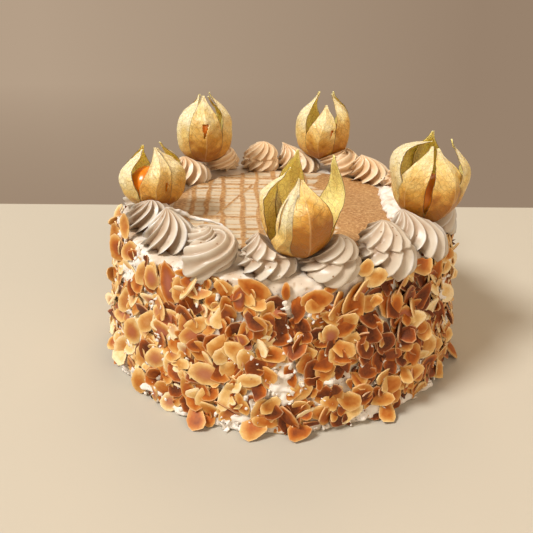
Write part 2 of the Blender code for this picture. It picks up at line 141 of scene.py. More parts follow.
def addPiece(name, points, faces, material, node, marks, sharp=None):
    # a piece on the one body that takes the node's place; marks are numbers kept on its points
    mesh = bpy.data.meshes.new(name)
    faceList = []
    for group in faces:
        faceList += group.tolist()
    mesh.from_pydata(points.reshape(-1, 3).tolist(), [], faceList)
    mesh.shade_smooth()
    if sharp is not None:
        mesh.set_sharp_from_angle(angle=math.radians(sharp))
    for key, values in marks.items():
        layer = mesh.attributes.new(key, "FLOAT", "POINT")
        layer.data.foreach_set("value", np.asarray(values, np.float32).ravel())
    mesh.materials.append(material)
    piece = bpy.data.objects.new(name, mesh)
    bpy.context.scene.collection.objects.link(piece)
    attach(piece, "root")
    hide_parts(node)
    return piece


# the torte's size, as the solids have it

torte = dict(
    height=69.0 * mm, footRadius=88.5 * mm, rimRadius=80.0 * mm, sideCurve=1.25,
    rimRounding=3.0 * mm, wave=0.5 * mm)
ring = dict(count=18, radius=69.5 * mm, shift=2.2 * mm, first=math.radians(-137.6))


def sideRadius(angle, height):
    # a taper that quickens towards the rim, plus three and seven waves round the cake
    share = np.maximum(height, 0.0) / torte["height"]
    taper = torte["footRadius"] - (torte["footRadius"] - torte["rimRadius"]) * share ** torte["sideCurve"]
    return taper + torte["wave"] * (np.sin(3.0 * angle + 1.1) + 0.7 * np.sin(7.0 * angle + 5.0 * share))


def ringPlace(step, radius):  # even steps of angle round the ring's middle
    angle = ring["first"] + 2.0 * math.pi / ring["count"] * step
    return np.array([ring["shift"] + radius * math.cos(angle), radius * math.sin(angle), 0.0])


# the photo's camera, found from the cake's outline; pixels are those of its 533 x 533 frame

photo = dict(
    lens=40.53, sensor=36.0, frame=533.0, eye=(-7.7, -285.7, 177.4), pitch=26.468, roll=0.432,
    nearest=150.0 * mm, farthest=420.0 * mm, step=0.2 * mm)


def photoAxes():
    # the camera's right, top and forward: level along Y, pitched down, then rolled
    pitch, roll = math.radians(photo["pitch"]), math.radians(photo["roll"])
    forward = np.array([0.0, math.cos(pitch), -math.sin(pitch)])
    up = np.array([0.0, math.sin(pitch), math.cos(pitch)])
    level = np.array([1.0, 0.0, 0.0])
    right = level * math.cos(roll) + up * math.sin(roll)
    return right, up * math.cos(roll) - level * math.sin(roll), forward


def photoLines(x, y):
    # for each pixel, how far its line of sight gets in one unit of depth
    right, top, forward = photoAxes()
    unit = photo["sensor"] / (photo["frame"] * photo["lens"])
    across = (np.asarray(x) - 0.5 * photo["frame"])[:, None] * unit
    down = (np.asarray(y) - 0.5 * photo["frame"])[:, None] * unit
    return forward + across * right - down * top


def photoSpots(x, y, height):  # where the lines of sight through pixels cross their heights
    lines = photoLines(x, y)
    eye = np.array(photo["eye"]) * mm
    return eye + lines * ((height - eye[2]) / lines[:, 2])[:, None]


def photoOnSide(x, y, lift):
    # where the lines of sight first meet the side, or else pass closest by it: angle round the
    # cake, height, and the depth, found in small steps
    depth = np.arange(photo["nearest"], photo["farthest"], photo["step"])[:, None]
    spots = np.array(photo["eye"]) * mm + depth[..., None] * photoLines(x, y)
    angle = np.arctan2(spots[..., 1], spots[..., 0])
    gap = np.hypot(spots[..., 0], spots[..., 1]) - sideRadius(angle, spots[..., 2]) - lift
    first = np.where((gap < 0.0).any(axis=0), np.argmax(gap < 0.0, axis=0), np.argmin(gap, axis=0))
    each = np.arange(len(first))
    return angle[first, each], spots[first, each, 2], depth[first, 0]


# buttercream: butter, sugar and coffee beaten with air, piped or spread; soft sheen, a little
# light goes in, tiny open bubbles

def makeButtercream(name, tones, specks):
    material, tree, shader, place = newMaterial(name)
    # palest on the crests, darker and browner in the valleys: painted highlight on the crests and painted
    # shade in the valleys
    soft = addNode(tree, "TexNoise", {"Vector": place, "Scale": 1.0 / (9.0 * mm), "Detail": 3.0})
    wander = addNode(tree, "MapRange", {0: soft, 1: 0.3, 2: 0.7, 3: -0.08, 4: 0.12})
    valley = addNode(tree, "Attribute", {}, "Fac", attribute_name="valley")
    share = addNode(tree, "Math", {0: wander, 1: valley}, operation="ADD", use_clamp=True)
    base = addNode(tree, "ValToRGB", {0: share}, stops=zip((0.0, 0.3, 1.0), tones))
    # open bubbles: a dark dot in each cell of so many mm, an eighth of the cell across, painted shade in
    # the hole
    bubble = addNode(tree, "TexVoronoi", {"Vector": place, "Scale": 1.0 / (specks * mm)}, "Distance")
    hole = addNode(tree, "MapRange", {0: bubble, 1: 0.045, 2: 0.085, 3: 1.0, 4: 0.0})
    bubbleShaded = addNode(tree, "Mix", {0: hole, 6: base, 7: "#8a6038"}, **colourMix)
    grain = addNode(
        tree, "TexNoise", {"Vector": place, "Scale": 1.0 / (0.9 * mm), "Detail": 4.0, "Roughness": 0.6})
    bumpGrain = addNode(tree, "Bump", {"Height": grain, "Strength": 0.12, "Distance": 0.3 * mm})
    bumpHole = addNode(
        tree, "Bump", {"Height": hole, "Normal": bumpGrain, "Strength": 0.8, "Distance": 0.2 * mm},
        invert=True)
    setInputs(tree, shader, {
        "Base Color": bubbleShaded, "Normal": bumpHole, "Roughness": 0.32, "IOR": 1.45,
        "Specular IOR Level": 0.45, "Subsurface Weight": 0.05, "Subsurface Radius": (1.0, 0.75, 0.5),
        "Subsurface Scale": 1.2 * mm})
    return material


# tones for crest, middle and valley: the pale crest tone is a painted highlight, the dark valley tone
# painted shade
pipedCream = makeButtercream("pipedCoffeeButtercream", ("#dcdad8", "#c8bcaa", "#8b6138"), 5.0)
# the back rosettes' copy, brighter and warmer: painted light bounced off the caramel beside them
bounceLitCream = makeButtercream("pipedCreamWithPaintedBounceLight", ("#efe1ce", "#dec6a3", "#b27d48"), 5.0)
spreadCream = makeButtercream("spreadCoffeeButtercream", ("#e6dfd6", "#d4c6b4", "#a58562"), 2.0)


# spread cream over the whole cake

coat = dict(
    columns=640, sideRows=112, rimRows=8, topRows=14, seed=4, footRing=60.0 * mm, footInset=1.0 * mm,
    topHole=4.0 * mm, ripple=0.6 * mm, pit=0.5 * mm, patch=13.0 * mm, patchFrom=0.45,
    patchRise=1.15 * mm,
    # bare spots seen in the photo: angle in degrees, height, half width and half height in mm
    bareSpots=(
        (-101.0, 3.5, 15.0, 5.5), (-101.0, 36.0, 6.0, 6.0), (-80.0, 56.0, 8.0, 4.5),
        (-146.0, 50.0, 5.0, 8.0), (-62.0, 5.0, 14.0, 3.5), (-135.0, 8.0, 12.0, 5.0)))


def creamShows(angle, height):
    # 1 in the patches where rough cream shows between the flakes, 0 elsewhere
    spot = np.stack([80.0 * mm * np.cos(angle), 80.0 * mm * np.sin(angle), height], axis=-1)
    noise = cloud(spot, coat["patch"], 41) + 0.6 * cloud(spot, 0.45 * coat["patch"], 42)
    noise = noise + 0.3 * smoothStep(8.0 * mm, 2.0 * mm, height)
    shown = smoothStep(coat["patchFrom"], coat["patchFrom"] + 0.2, noise)
    for middle, level, wide, tall in coat["bareSpots"]:
        turned = angle - math.radians(middle)
        aside = torte["footRadius"] * np.sin(turned) / wide
        away = np.hypot(aside, (height - level * mm) / tall) / mm - 0.3 * noise
        shown = np.maximum(shown, smoothStep(1.1, 0.7, away) * (np.cos(turned) > 0.0))
    return shown


def makeCoat():
    # a profile from the middle of the underside, up the side, over the rim and to the middle of
    # the top, turned round the axis; the side is pushed out by noise of several sizes
    sideTop = torte["height"] - torte["rimRounding"]
    turn = np.linspace(0.0, 0.5 * math.pi, coat["rimRows"] + 1)[1:]
    inset = np.concatenate([
        [coat["footRing"], coat["footInset"]], np.zeros(coat["sideRows"]),
        torte["rimRounding"] * (1.0 - np.cos(turn)),
        np.linspace(torte["rimRounding"], torte["rimRadius"] - coat["topHole"], coat["topRows"])[1:]])
    height = np.concatenate([
        [0.0, 0.0], np.linspace(0.6 * mm, sideTop, coat["sideRows"]),
        sideTop + torte["rimRounding"] * np.sin(turn),
        np.full(coat["topRows"] - 1, torte["height"])])
    angle = np.linspace(0.0, 2.0 * math.pi, coat["columns"], endpoint=False)
    heights, angles = np.meshgrid(height, angle, indexing="ij")
    radius = sideRadius(angles, heights) - inset[:, None]
    points = np.stack([radius * np.cos(angles), radius * np.sin(angles), heights], axis=-1)

    def bumps(size, step):  # noise of one size in mm
        return cloud(points, size * mm, coat["seed"] + step)

    stretched = np.stack([60.0 * mm * angles, np.zeros_like(angles), 2.5 * heights], axis=-1)
    relief = bumps(7.0, 0) + 0.6 * bumps(3.0, 1) + 0.5 * cloud(stretched, 6.0 * mm, coat["seed"] + 2)
    pits = smoothStep(0.45, 0.8, bumps(1.6, 3))
    rough = 1.0 + 0.9 * bumps(1.9, 6) + 0.4 * bumps(4.0, 7)
    foot = 1.0 + 1.2 * smoothStep(9.0 * mm, 2.0 * mm, heights)
    nearRim = smoothStep(58.0 * mm, 64.0 * mm, heights)
    onSide = smoothStep(0.0, 1.5 * mm, heights) * smoothStep(4.0 * mm, 1.0 * mm, inset[:, None])
    shown = creamShows(angles, heights)
    push = coat["ripple"] * relief * foot - coat["pit"] * pits + 0.5 * mm * nearRim * bumps(1.9, 8)
    push = (push + coat["patchRise"] * rough * shown) * onSide
    points[..., 0] += push * np.cos(angles)
    points[..., 1] += push * np.sin(angles)
    onTop = (inset[:, None] > 3.5 * mm) * (heights > sideTop)
    points[..., 2] += 0.25 * mm * bumps(5.0, 5) * onTop
    ends = np.array([[0.0, 0.0, 0.0], [0.0, 0.0, torte["height"]]])
    # darker in the low parts of the relief, in the pits and where flakes cover the cream: painted shade
    valley = np.clip(0.3 - 0.33 * relief + 0.4 * pits - 0.2 * shown, 0.0, 1.0)
    return addPiece(
        "spreadCream", np.vstack([points.reshape(-1, 3), ends]), tubeFaces(len(height), coat["columns"]),
        spreadCream, "cream_torte", {"valley": np.append(valley, [0.3, 0.3])})


makeCoat()
print("spread cream done")


# toasted almond flakes: sliced almonds dried and browned in the oven; matt, paler at the rim, with a
# painted highlight on the cut edge, darker and redder in the middle, with fine fibres along the slice

def makeAlmond():
    material, tree, shader, place = newMaterial("toastedAlmond")
    tone, rim, blush = (
        addNode(tree, "Attribute", {}, "Fac", attribute_name=key) for key in ("tone", "rim", "blush"))
    cloudy = addNode(tree, "TexNoise", {"Vector": place, "Scale": 1.0 / (5.0 * mm), "Detail": 3.0})
    wander = addNode(tree, "MapRange", {0: cloudy, 1: 0.3, 2: 0.7, 3: -0.12, 4: 0.12})
    # browned in the middle, pale at the rim
    middle = addNode(tree, "MapRange", {0: rim, 1: 0.45, 2: 0.95, 3: 0.14, 4: -0.12})
    browned = addNode(tree, "Math", {0: tone, 1: middle}, operation="ADD")
    uneven = addNode(tree, "Math", {0: browned, 1: wander}, operation="ADD", use_clamp=True)
    toasted = addNode(tree, "ValToRGB", {0: uneven}, stops=(
        (0.0, "#f1dfb4"), (0.2, "#e2be7c"), (0.42, "#c58b42"), (0.62, "#aa5811"), (0.8, "#773306"),
        (1.0, "#471a04")))
    # some keep a reddish blush from the brown skin
    inner = addNode(tree, "MapRange", {0: rim, 1: 0.25, 2: 0.85, 3: 1.0, 4: 0.0})
    blushShare = addNode(tree, "Math", {0: blush, 1: inner}, operation="MULTIPLY")
    blushed = addNode(tree, "Mix", {0: blushShare, 6: toasted, 7: "#a86652"}, **colourMix)
    # a painted highlight along the cut edge, where the rim catches the light
    edge = addNode(tree, "MapRange", {0: rim, 1: 0.9, 2: 1.0, 3: 0.0, 4: 0.35})
    rimHighlighted = addNode(tree, "Mix", {0: edge, 6: blushed, 7: "#f3dcae"}, **colourMix)
    # fibres, drawn 0.8 mm apart, coarser than they are, so that they show
    fibres = addNode(
        tree, "TexNoise", {"Vector": place, "Scale": 1.0 / (0.8 * mm), "Detail": 5.0, "Roughness": 0.65})
    dark = addNode(tree, "MapRange", {0: fibres, 1: 0.35, 2: 0.7, 3: 0.0, 4: 0.22})
    final = addNode(tree, "Mix", {0: dark, 6: rimHighlighted, 7: "#a8622c"}, **colourMix)
    bump = addNode(tree, "Bump", {"Height": fibres, "Strength": 0.25, "Distance": 0.25 * mm})
    setInputs(tree, shader, {
        "Base Color": final, "Normal": bump, "Roughness": 0.5, "Specular IOR Level": 0.25,
        "Subsurface Weight": 0.1, "Subsurface Radius": (1.0, 0.6, 0.25), "Subsurface Scale": 1.2 * mm})
    return material


toastedAlmond = makeAlmond()

flakes = dict(
    corners=12, middleRing=0.72, thickness=0.8 * mm, seed=21,
    pressed=134, pressedSeed=11, pressedTilt=math.radians(30.0), pressedSize=0.92,
    pressedLength=(13.0 * mm, 17.5 * mm), pressedWidth=(9.0 * mm, 12.0 * mm),
    pressedZone=(6.0 * mm, 60.0 * mm), lowest=0.4 * mm, highest=68.5 * mm,
    whole=900, wholeLength=(9.5, 14.0), wholeWidth=(6.5, 9.5),
    broken=760, brokenLength=(5.0, 9.5), brokenWidth=(4.0, 7.0),
    bareDepth=5.5 * mm, bareMiddle=math.radians(-86.0), bareWidth=math.radians(14.0),
    placedLift=1.5 * mm, footLean=math.radians(-38.0), footLift=2.2 * mm,
    cutShare=0.42, cutPlace=(0.15, 0.8), uncut=2.0, bow=0.45 * mm, thicker=(0.75, 1.25), sharpEdge=35.0,
    meanTone=0.4, toneSpread=0.24, brownShare=0.08, toastAndShadeTurn=1.25)
# the most visible flakes, measured in the photo: the pixel at the middle, length and width in
# pixels, slant from the picture's horizontal in degrees, tone from pale to dark, blush
placedFlakes = (
    (145, 273, 24, 14, 80, 0.3, 0.2), (154, 277, 24, 15, 100, 0.35, 0.9),
    (171, 284, 42, 19, 105, 0.62, 0.9), (188, 274, 26, 9, 175, 0.45, 0), (193, 283, 24, 17, 170, 0.62, 0.3),
    (255, 290, 38, 18, 150, 0.55, 0), (286, 292, 18, 9, 90, 0.5, 0), (281, 322, 42, 14, 90, 0.92, 0),
    (240, 298, 26, 14, 85, 0.62, 0.9), (260, 330, 27, 25, 20, 0.48, 0), (246, 335, 27, 16, 100, 0.5, 0),
    (237, 351, 28, 20, 145, 0.28, 0), (221, 346, 28, 22, 50, 0.34, 0), (202, 350, 28, 19, 160, 0.5, 0),
    (185, 334, 20, 9, 5, 0.5, 0), (197, 325, 26, 15, 30, 0.28, 0), (206, 373, 35, 22, 165, 0.3, 0.8),
    (158, 357, 22, 20, 60, 0.3, 0.7), (168, 362, 22, 9, 90, 0.12, 0), (250, 380, 26, 14, 5, 0.2, 0),
    (230, 364, 28, 14, 165, 0.6, 0), (221, 317, 26, 16, 60, 0.15, 0), (268, 315, 30, 15, 80, 0.42, 0),
    (212, 300, 14, 12, 60, 0.5, 0), (180, 290, 26, 16, 95, 0.4, 0.2), (317, 300, 34, 19, 10, 0.55, 0),
    (356, 306, 28, 18, 75, 0.5, 0), (345, 327, 24, 17, 30, 0.6, 0), (384, 341, 21, 19, 30, 0.86, 0),
    (405, 335, 22, 20, 60, 0.9, 0), (411, 319, 24, 20, 10, 0.15, 0), (395, 303, 26, 12, 85, 0.5, 0),
    (420, 297, 30, 13, 60, 0.78, 0), (437, 312, 28, 12, 95, 0.8, 0), (358, 350, 24, 16, 30, 0.5, 0),
    (425, 345, 26, 16, 75, 0.25, 0), (373, 331, 22, 16, 40, 0.62, 0), (375, 300, 16, 10, 40, 0.4, 0),
    (388, 270, 22, 14, 100, 0.3, 0), (375, 277, 24, 18, 20, 0.25, 0), (366, 268, 18, 14, 60, 0.3, 0),
    (402, 278, 20, 12, 70, 0.35, 0), (330, 318, 22, 12, 150, 0.4, 0), (305, 355, 24, 18, 20, 0.45, 0),
    (325, 372, 22, 18, 45, 0.5, 0), (142, 393, 26, 15, 95, 0.36, 0), (189, 391, 32, 14, 115, 0.5, 0.2),
    (226, 396, 32, 13, 75, 0.15, 0), (242, 404, 26, 11, 115, 0.4, 0), (262, 352, 14, 12, 30, 0.5, 0),
    (119, 237, 26, 12, 95, 0.42, 0), (127, 226, 24, 9, 95, 0.4, 0.2), (122, 248, 26, 17, 110, 0.5, 0.2),
    (131, 251, 20, 15, 70, 0.35, 0.5), (441, 250, 24, 10, 80, 0.4, 0), (435, 270, 26, 12, 75, 0.5, 0),
    (128, 300, 26, 14, 80, 0.3, 0.3), (135, 330, 26, 16, 100, 0.35, 0.5), (125, 345, 24, 14, 70, 0.2, 0.2),
    (150, 320, 26, 15, 60, 0.3, 0.3), (410, 372, 24, 18, 10, 0.4, 0), (388, 385, 26, 20, 20, 0.55, 0),
    (348, 400, 26, 18, 150, 0.4, 0), (300, 392, 28, 18, 30, 0.3, 0), (290, 376, 24, 12, 110, 0.7, 0),
    (271, 405, 24, 14, 40, 0.35, 0), (320, 412, 22, 14, 20, 0.45, 0), (418, 325, 18, 12, 120, 0.5, 0),
    (200, 268, 20, 9, 160, 0.35, 0), (330, 290, 16, 8, 20, 0.5, 0))
# flakes that stand on the table and lean on the foot: angle round the cake, height, length, width
# in mm, spin in degrees, tone, blush
footFlakes = (
    (-114, 4, 12, 8.5, 120, 0.52, 0), (-98, 3.5, 12, 9.5, 20, 0.4, 0.1), (-86, 3.5, 10.5, 7.5, 10, 0.58, 0),
    (-60, 4, 11, 8, 70, 0.4, 0), (-20, 4, 12, 8, 100, 0.5, 0), (30, 3.5, 11, 8, 30, 0.4, 0),
    (68, 4, 12, 8, 80, 0.5, 0), (160, 4, 11, 8, 120, 0.35, 0))


def flakeShapes(length, width, thickness, bow, cuts, wobble):
    # rings of a pointed oval, each flake its own: the radius wavers with three and five lobes, a
    # broken one is cut off by one or two jagged lines, and the slice is bowed along its length
    rho = np.array([flakes["middleRing"], 1.0])[None, :, None]
    turn = np.linspace(0.0, 2.0 * math.pi, flakes["corners"], endpoint=False)[None, None, :]
    waver = 1.0 + 0.06 * np.sin(3.0 * turn + wobble[:, 0, None, None])
    waver = waver + 0.04 * np.sin(5.0 * turn + wobble[:, 1, None, None])
    x = rho * waver * np.cos(turn)
    y = rho * waver * np.sin(turn) * (1.0 - 0.2 * np.cos(turn))
    for index in range(2):
        way = wobble[:, 3 + index, None, None]
        ahead = x * np.cos(way) + y * np.sin(way)
        aside = y * np.cos(way) - x * np.sin(way)
        jag = 0.07 * np.sin(8.0 * aside + 20.0 * wobble[:, 2, None, None])
        over = np.maximum(0.0, ahead - (cuts[:, index, None, None] + jag))
        x = x - over * np.cos(way)
        y = y - over * np.sin(way)
    count = len(length)
    x = np.concatenate([np.zeros((count, 1)), x.reshape(count, -1)], axis=1)
    y = np.concatenate([np.zeros((count, 1)), y.reshape(count, -1)], axis=1)
    corners = flakes["corners"]
    ringShare = np.concatenate([[0.0], np.full(corners, flakes["middleRing"]), np.ones(corners)])
    bend = bow[:, None] * (x * x - 0.3) + 0.5 * bow[:, None] * x * y
    half = 0.5 * thickness[:, None] * np.where(ringShare > 0.95, 0.7, 1.0)[None, :]
    upper = np.stack([0.5 * length[:, None] * x, 0.5 * width[:, None] * y, bend + half], axis=-1)
    lower = np.stack([0.5 * length[:, None] * x, 0.5 * width[:, None] * y, bend - half], axis=-1)
    keep = ringShare != flakes["middleRing"]
    return np.concatenate([upper, lower[:, keep]], axis=1), np.concatenate([ringShare, ringShare[keep]])


def flakeFaces(corners):
    # above: triangles round the middle, then a band; below: triangles; and a wall at the rim.
    # Triangles come first, then squares
    near = np.arange(corners)
    far = (near + 1) % corners
    under = 1 + 2 * corners
    fan = np.stack([np.zeros(corners, int), 1 + near, 1 + far], axis=-1)
    below = np.stack([np.full(corners, under), under + 1 + far, under + 1 + near], axis=-1)
    rim = 1 + corners
    band = np.stack([1 + near, rim + near, rim + far, 1 + far], axis=-1)
    wall = np.stack([rim + near, under + 1 + near, under + 1 + far, rim + far], axis=-1)
    return [np.vstack([fan, below]), np.vstack([band, wall])]


def sidePoses(angle, height, lift, tilt, tiltAxis, spin):
    # places on the side: X along it, Y up it, Z out of it; then tilted about an axis in the side
    out = np.stack([np.cos(angle), np.sin(angle), np.full_like(angle, 0.12)], axis=-1)
    out /= np.linalg.norm(out, axis=-1, keepdims=True)
    along = np.stack([-np.sin(angle), np.cos(angle), np.zeros_like(angle)], axis=-1)
    up = np.cross(out, along)
    base = np.stack([along, up, out], axis=-1)
    ax, ay = np.cos(tiltAxis), np.sin(tiltAxis)
    c, s = np.cos(tilt), np.sin(tilt)
    lean = np.stack([
        np.stack([c + ax * ax * (1 - c), ax * ay * (1 - c), ay * s], -1),
        np.stack([ax * ay * (1 - c), c + ay * ay * (1 - c), -ax * s], -1),
        np.stack([-ay * s, ax * s, c], -1)], axis=-2)
    zero, one = np.zeros_like(spin), np.ones_like(spin)
    twirl = np.stack([
        np.stack([np.cos(spin), -np.sin(spin), zero], -1),
        np.stack([np.sin(spin), np.cos(spin), zero], -1),
        np.stack([zero, zero, one], -1)], axis=-2)
    radius = sideRadius(angle, height)
    place = np.stack([radius * np.cos(angle), radius * np.sin(angle), height], axis=-1)
    return base @ lean @ twirl, place + lift[:, None] * out


def setOnSide(shapes, lowest, *pose):  # each shape in its place, none of it under the lowest height
    turned, place = sidePoses(*pose)
    points = np.einsum("nij,nkj->nki", turned, shapes) + place[:, None, :]
    points[..., 2] += np.maximum(0.0, lowest - points[..., 2].min(axis=1))[:, None]
    return points


def pressedFlakes():
    # the large flakes of the solid, at the golden angle from one another, drawn in its order
    draw = random.Random(flakes["pressedSeed"])
    golden = math.pi * (3.0 - math.sqrt(5.0))
    low, high = flakes["pressedZone"]
    rows = []
    for index in range(flakes["pressed"]):
        angle = index * golden + draw.uniform(-0.04, 0.04)
        height = low + (high - low) * (index + draw.random()) / flakes["pressed"]
        length = flakes["pressedSize"] * draw.uniform(*flakes["pressedLength"])
        width = flakes["pressedSize"] * draw.uniform(*flakes["pressedWidth"])
        tilt = draw.uniform(0.2, 1.0) * flakes["pressedTilt"]
        spin = draw.uniform(0.0, 2.0 * math.pi)
        tiltAxis = draw.uniform(0.0, 2.0 * math.pi)
        lift = 0.55 * mm * (0.2 + 1.6 * tilt / flakes["pressedTilt"])
        rows.append((angle, height, length, width, tilt, spin, tiltAxis, lift))
    return np.array(rows).T


def flakeCeiling(angle):
    # flakes reach almost to the rim, but leave a bare band of cream at the front
    away = (angle - flakes["bareMiddle"] + math.pi) % (2.0 * math.pi) - math.pi
    return flakes["highest"] - flakes["bareDepth"] * np.exp(-(away / flakes["bareWidth"]) ** 2)


def scatteredFlakes(draw, count, lengths, widths, phase):
    # golden-angle steps round the cake and even steps up it, each with a little random shift
    index = np.arange(count)
    share = np.clip((index + draw.normal(0.5, 18.0, count)) / count, 0.0, 1.0)
    angle = index * math.pi * (3.0 - math.sqrt(5.0)) + phase + draw.normal(0.0, 0.05, count)
    length = draw.uniform(*lengths, count) * mm
    width = np.minimum(draw.uniform(*widths, count) * mm, 0.85 * length)
    height = 3.0 * mm + (flakeCeiling(angle) - 5.0 * mm) * share
    tilt = np.radians(4.0 + 20.0 * draw.random(count) + 40.0 * draw.random(count) ** 6.0)
    lift = 0.28 * width * np.sin(tilt) + draw.uniform(-0.3, 1.1, count) * mm
    flat = np.stack([angle, height, length, width, tilt, draw.uniform(0.0, 2.0 * math.pi, count),
                     draw.uniform(0.0, 2.0 * math.pi, count), lift])
    return flat[:, draw.random(count) > 0.75 * creamShows(angle, height)]


def turnedToFront(angle):  # which way a placed flake faces: mostly to the front
    return angle + 0.7 * (flakes["bareMiddle"] - angle)


def seenFlakes():
    # the placed flakes' angle, height, length, width and spin, freed of the slant view of them
    x, y, length, width, slant = np.array(placedFlakes, float).T[:5]
    angle, height, depth = photoOnSide(x, y, flakes["placedLift"])
    spots = (sideRadius(angle, height) * np.stack([np.cos(angle), np.sin(angle)])).T
    bearing = np.arctan2(*(np.array(photo["eye"][:2]) * mm - spots).T[::-1])
    across = 1.0 / np.cos(turnedToFront(angle) - bearing)
    upward = 1.0 / math.cos(math.radians(photo["pitch"]))
    pixel = depth * photo["sensor"] / (photo["frame"] * photo["lens"])
    slant = np.radians(slant)
    longer = np.hypot(across * np.cos(slant), upward * np.sin(slant))
    wider = np.hypot(across * np.sin(slant), upward * np.cos(slant))
    evener = pixel * np.sqrt(across * upward / (longer * wider))
    spin = np.arctan2(upward * np.sin(slant), across * np.cos(slant))
    return np.stack([angle, height, length * longer * evener, width * wider * evener, spin])


def listedFlakes(rows, draw, tilt, lift):
    # flakes turned about the upright the more to the front the further round they are, or with
    # a tilt given, leaning with the lower end out
    angle, height, length, width, spin = rows
    lean = np.full(len(angle), tilt) if tilt else turnedToFront(angle) - angle
    axis = np.full(len(angle), 0.0 if tilt else 0.5 * math.pi)
    out = lift * draw.uniform(0.7, 1.3, len(angle)) + 0.2 * width * np.abs(np.sin(lean))
    return np.stack([angle, height, length, width, lean, spin, axis, out])


def makeFlakes():
    # all flakes: where they lie, their shapes set there and kept under the rim, and their tones
    draw = np.random.default_rng(flakes["seed"])
    degree = math.radians(1.0)
    atFoot = np.array(footFlakes)[:, :5] * (degree, mm, mm, mm, degree)
    kinds = [
        pressedFlakes(),
        scatteredFlakes(draw, flakes["whole"], flakes["wholeLength"], flakes["wholeWidth"], 0.4),
        scatteredFlakes(draw, flakes["broken"], flakes["brokenLength"], flakes["brokenWidth"], 1.9),
        listedFlakes(seenFlakes(), draw, 0.0, flakes["placedLift"]),
        listedFlakes(atFoot.T, draw, flakes["footLean"], flakes["footLift"])]
    listed = np.array(placedFlakes + footFlakes)
    angle, height, length, width, tilt, spin, tiltAxis, lift = (
        np.concatenate(part) for part in zip(*kinds))
    count = len(angle)
    broken = draw.random((count, 2)) < flakes["cutShare"]
    cuts = np.where(broken, draw.uniform(*flakes["cutPlace"], (count, 2)), flakes["uncut"])
    cuts[:flakes["pressed"]] = flakes["uncut"]
    cuts[-len(listed):] = flakes["uncut"]
    thickness = flakes["thickness"] * draw.uniform(*flakes["thicker"], count)
    bow = draw.normal(0.0, flakes["bow"], count)
    shape, rim = flakeShapes(length, width, thickness, bow, cuts, draw.uniform(0.0, anyTurn, (count, 5)))
    points = setOnSide(shape, flakes["lowest"], angle, height, lift, tilt, tiltAxis, spin)
    ceiling = flakeCeiling(angle)
    ceiling[-len(listed):] = 1.0
    points[..., 2] += np.minimum(0.0, ceiling - points[..., 2].max(axis=1))[:, None]
    # tones: most are golden, some pale, a few well browned; darker towards the middle of the front, partly
    # toast and partly painted shade where the light falls off
    drift = 0.28 * np.exp((np.cos(angle + flakes["toastAndShadeTurn"]) - 1.0) / 0.28) - 0.1
    tone = flakes["meanTone"] + drift + flakes["toneSpread"] * draw.normal(0.0, 1.0, count)
    # more well browned flakes there too, in part the same painted shade
    browned = draw.random(count) < flakes["brownShare"] + 0.4 * drift
    tone = np.where(browned, 0.74 + 0.22 * draw.random(count), tone)
    blush = (draw.random(count) < 0.2 - 0.16 * np.cos(angle)) * draw.uniform(0.3, 1.0, count)
    blush = blush * smoothStep(0.75, 0.5, tone)
    tone[-len(listed):] = listed[:, 5]
    blush[-len(listed):] = listed[:, 6]
    each = points.shape[1]
    return addPiece(
        "almondFlakes", points, repeatFaces(flakeFaces(flakes["corners"]), count, each), toastedAlmond,
        "cream_torte",
        {"tone": np.repeat(np.clip(tone, 0.02, 0.98), each), "rim": np.tile(rim, count),
         "blush": np.repeat(blush, each)}, sharp=flakes["sharpEdge"])


makeFlakes()
print("almond flakes done")


# crumbs: bits of almond deep between the flakes, dark as painted shade in the gaps, and shreds of cream
# smeared over them

# count, size along three ways and lift off the side, in mm
crumbs = dict(
    seed=77, sides=8, belts=(-50.0, 0.0, 50.0), tries=12, lowest=0.2 * mm, nearFoot=0.8 * mm, tilt=0.9,
    almond=dict(count=900, size=((2.0, 4.5), (1.2, 2.8), (0.6, 1.2)), lift=(-0.4, 0.7)),
    cream=dict(count=1300, size=((1.3, 4.2), (0.9, 2.4), (0.6, 1.4)), lift=(-0.2, 1.7)))


def lumps(draw, count, sizes):
    # balls of 26 points, drawn out along x, each point pushed in or out at random, then bent
    sides = crumbs["sides"]
    turn = np.arange(sides) * (2.0 * math.pi / sides)
    level = np.radians(crumbs["belts"])[:, None]
    belts = np.stack([
        np.cos(level) * np.cos(turn), np.cos(level) * np.sin(turn), np.sin(level) + 0.0 * turn], axis=-1)
    ball = np.vstack([belts.reshape(-1, 3), [[0.0, 0.0, -1.0], [0.0, 0.0, 1.0]]])
    shape = ball[None] * np.clip(draw.normal(1.0, 0.2, (count, len(ball), 1)), 0.5, 1.5)
    size = np.stack([draw.uniform(*limits, count) for limits in sizes], axis=-1) * 0.5 * mm
    shape = shape * size[:, None, :]
    shape[..., 2] += draw.normal(0.0, 0.5, (count, 1)) * shape[..., 0] ** 2 / size[:, 0:1]
    return shape, repeatFaces(tubeFaces(len(level), sides), count, len(ball))


def makeCrumbs(name, material, form, weigh, marks):
    # far more places than lumps are drawn, and the heaviest by chance and weight are kept
    count = form["count"]
    places = crumbs["tries"] * count
    draw = np.random.default_rng(crumbs["seed"] + count)
    angle = draw.uniform(0.0, 2.0 * math.pi, places)
    height = draw.uniform(crumbs["nearFoot"], flakeCeiling(angle))
    chosen = np.argsort(draw.random(places) / weigh(angle, height))[:count]
    angle, height = angle[chosen], height[chosen]
    shape, faces = lumps(draw, count, form["size"])
    points = setOnSide(
        shape, crumbs["lowest"], angle, height, draw.uniform(*form["lift"], count) * mm,
        draw.uniform(0.0, crumbs["tilt"], count), draw.uniform(0.0, anyTurn, count),
        draw.uniform(0.0, anyTurn, count))
    values = {key: np.repeat(draw.uniform(*limits, count), shape.shape[1]) for key, limits in marks.items()}
    return addPiece(name, points, faces, material, "cream_torte", values)


def almondWeight(angle, height):  # least where the cream shows
    return 1.05 - creamShows(angle, height)


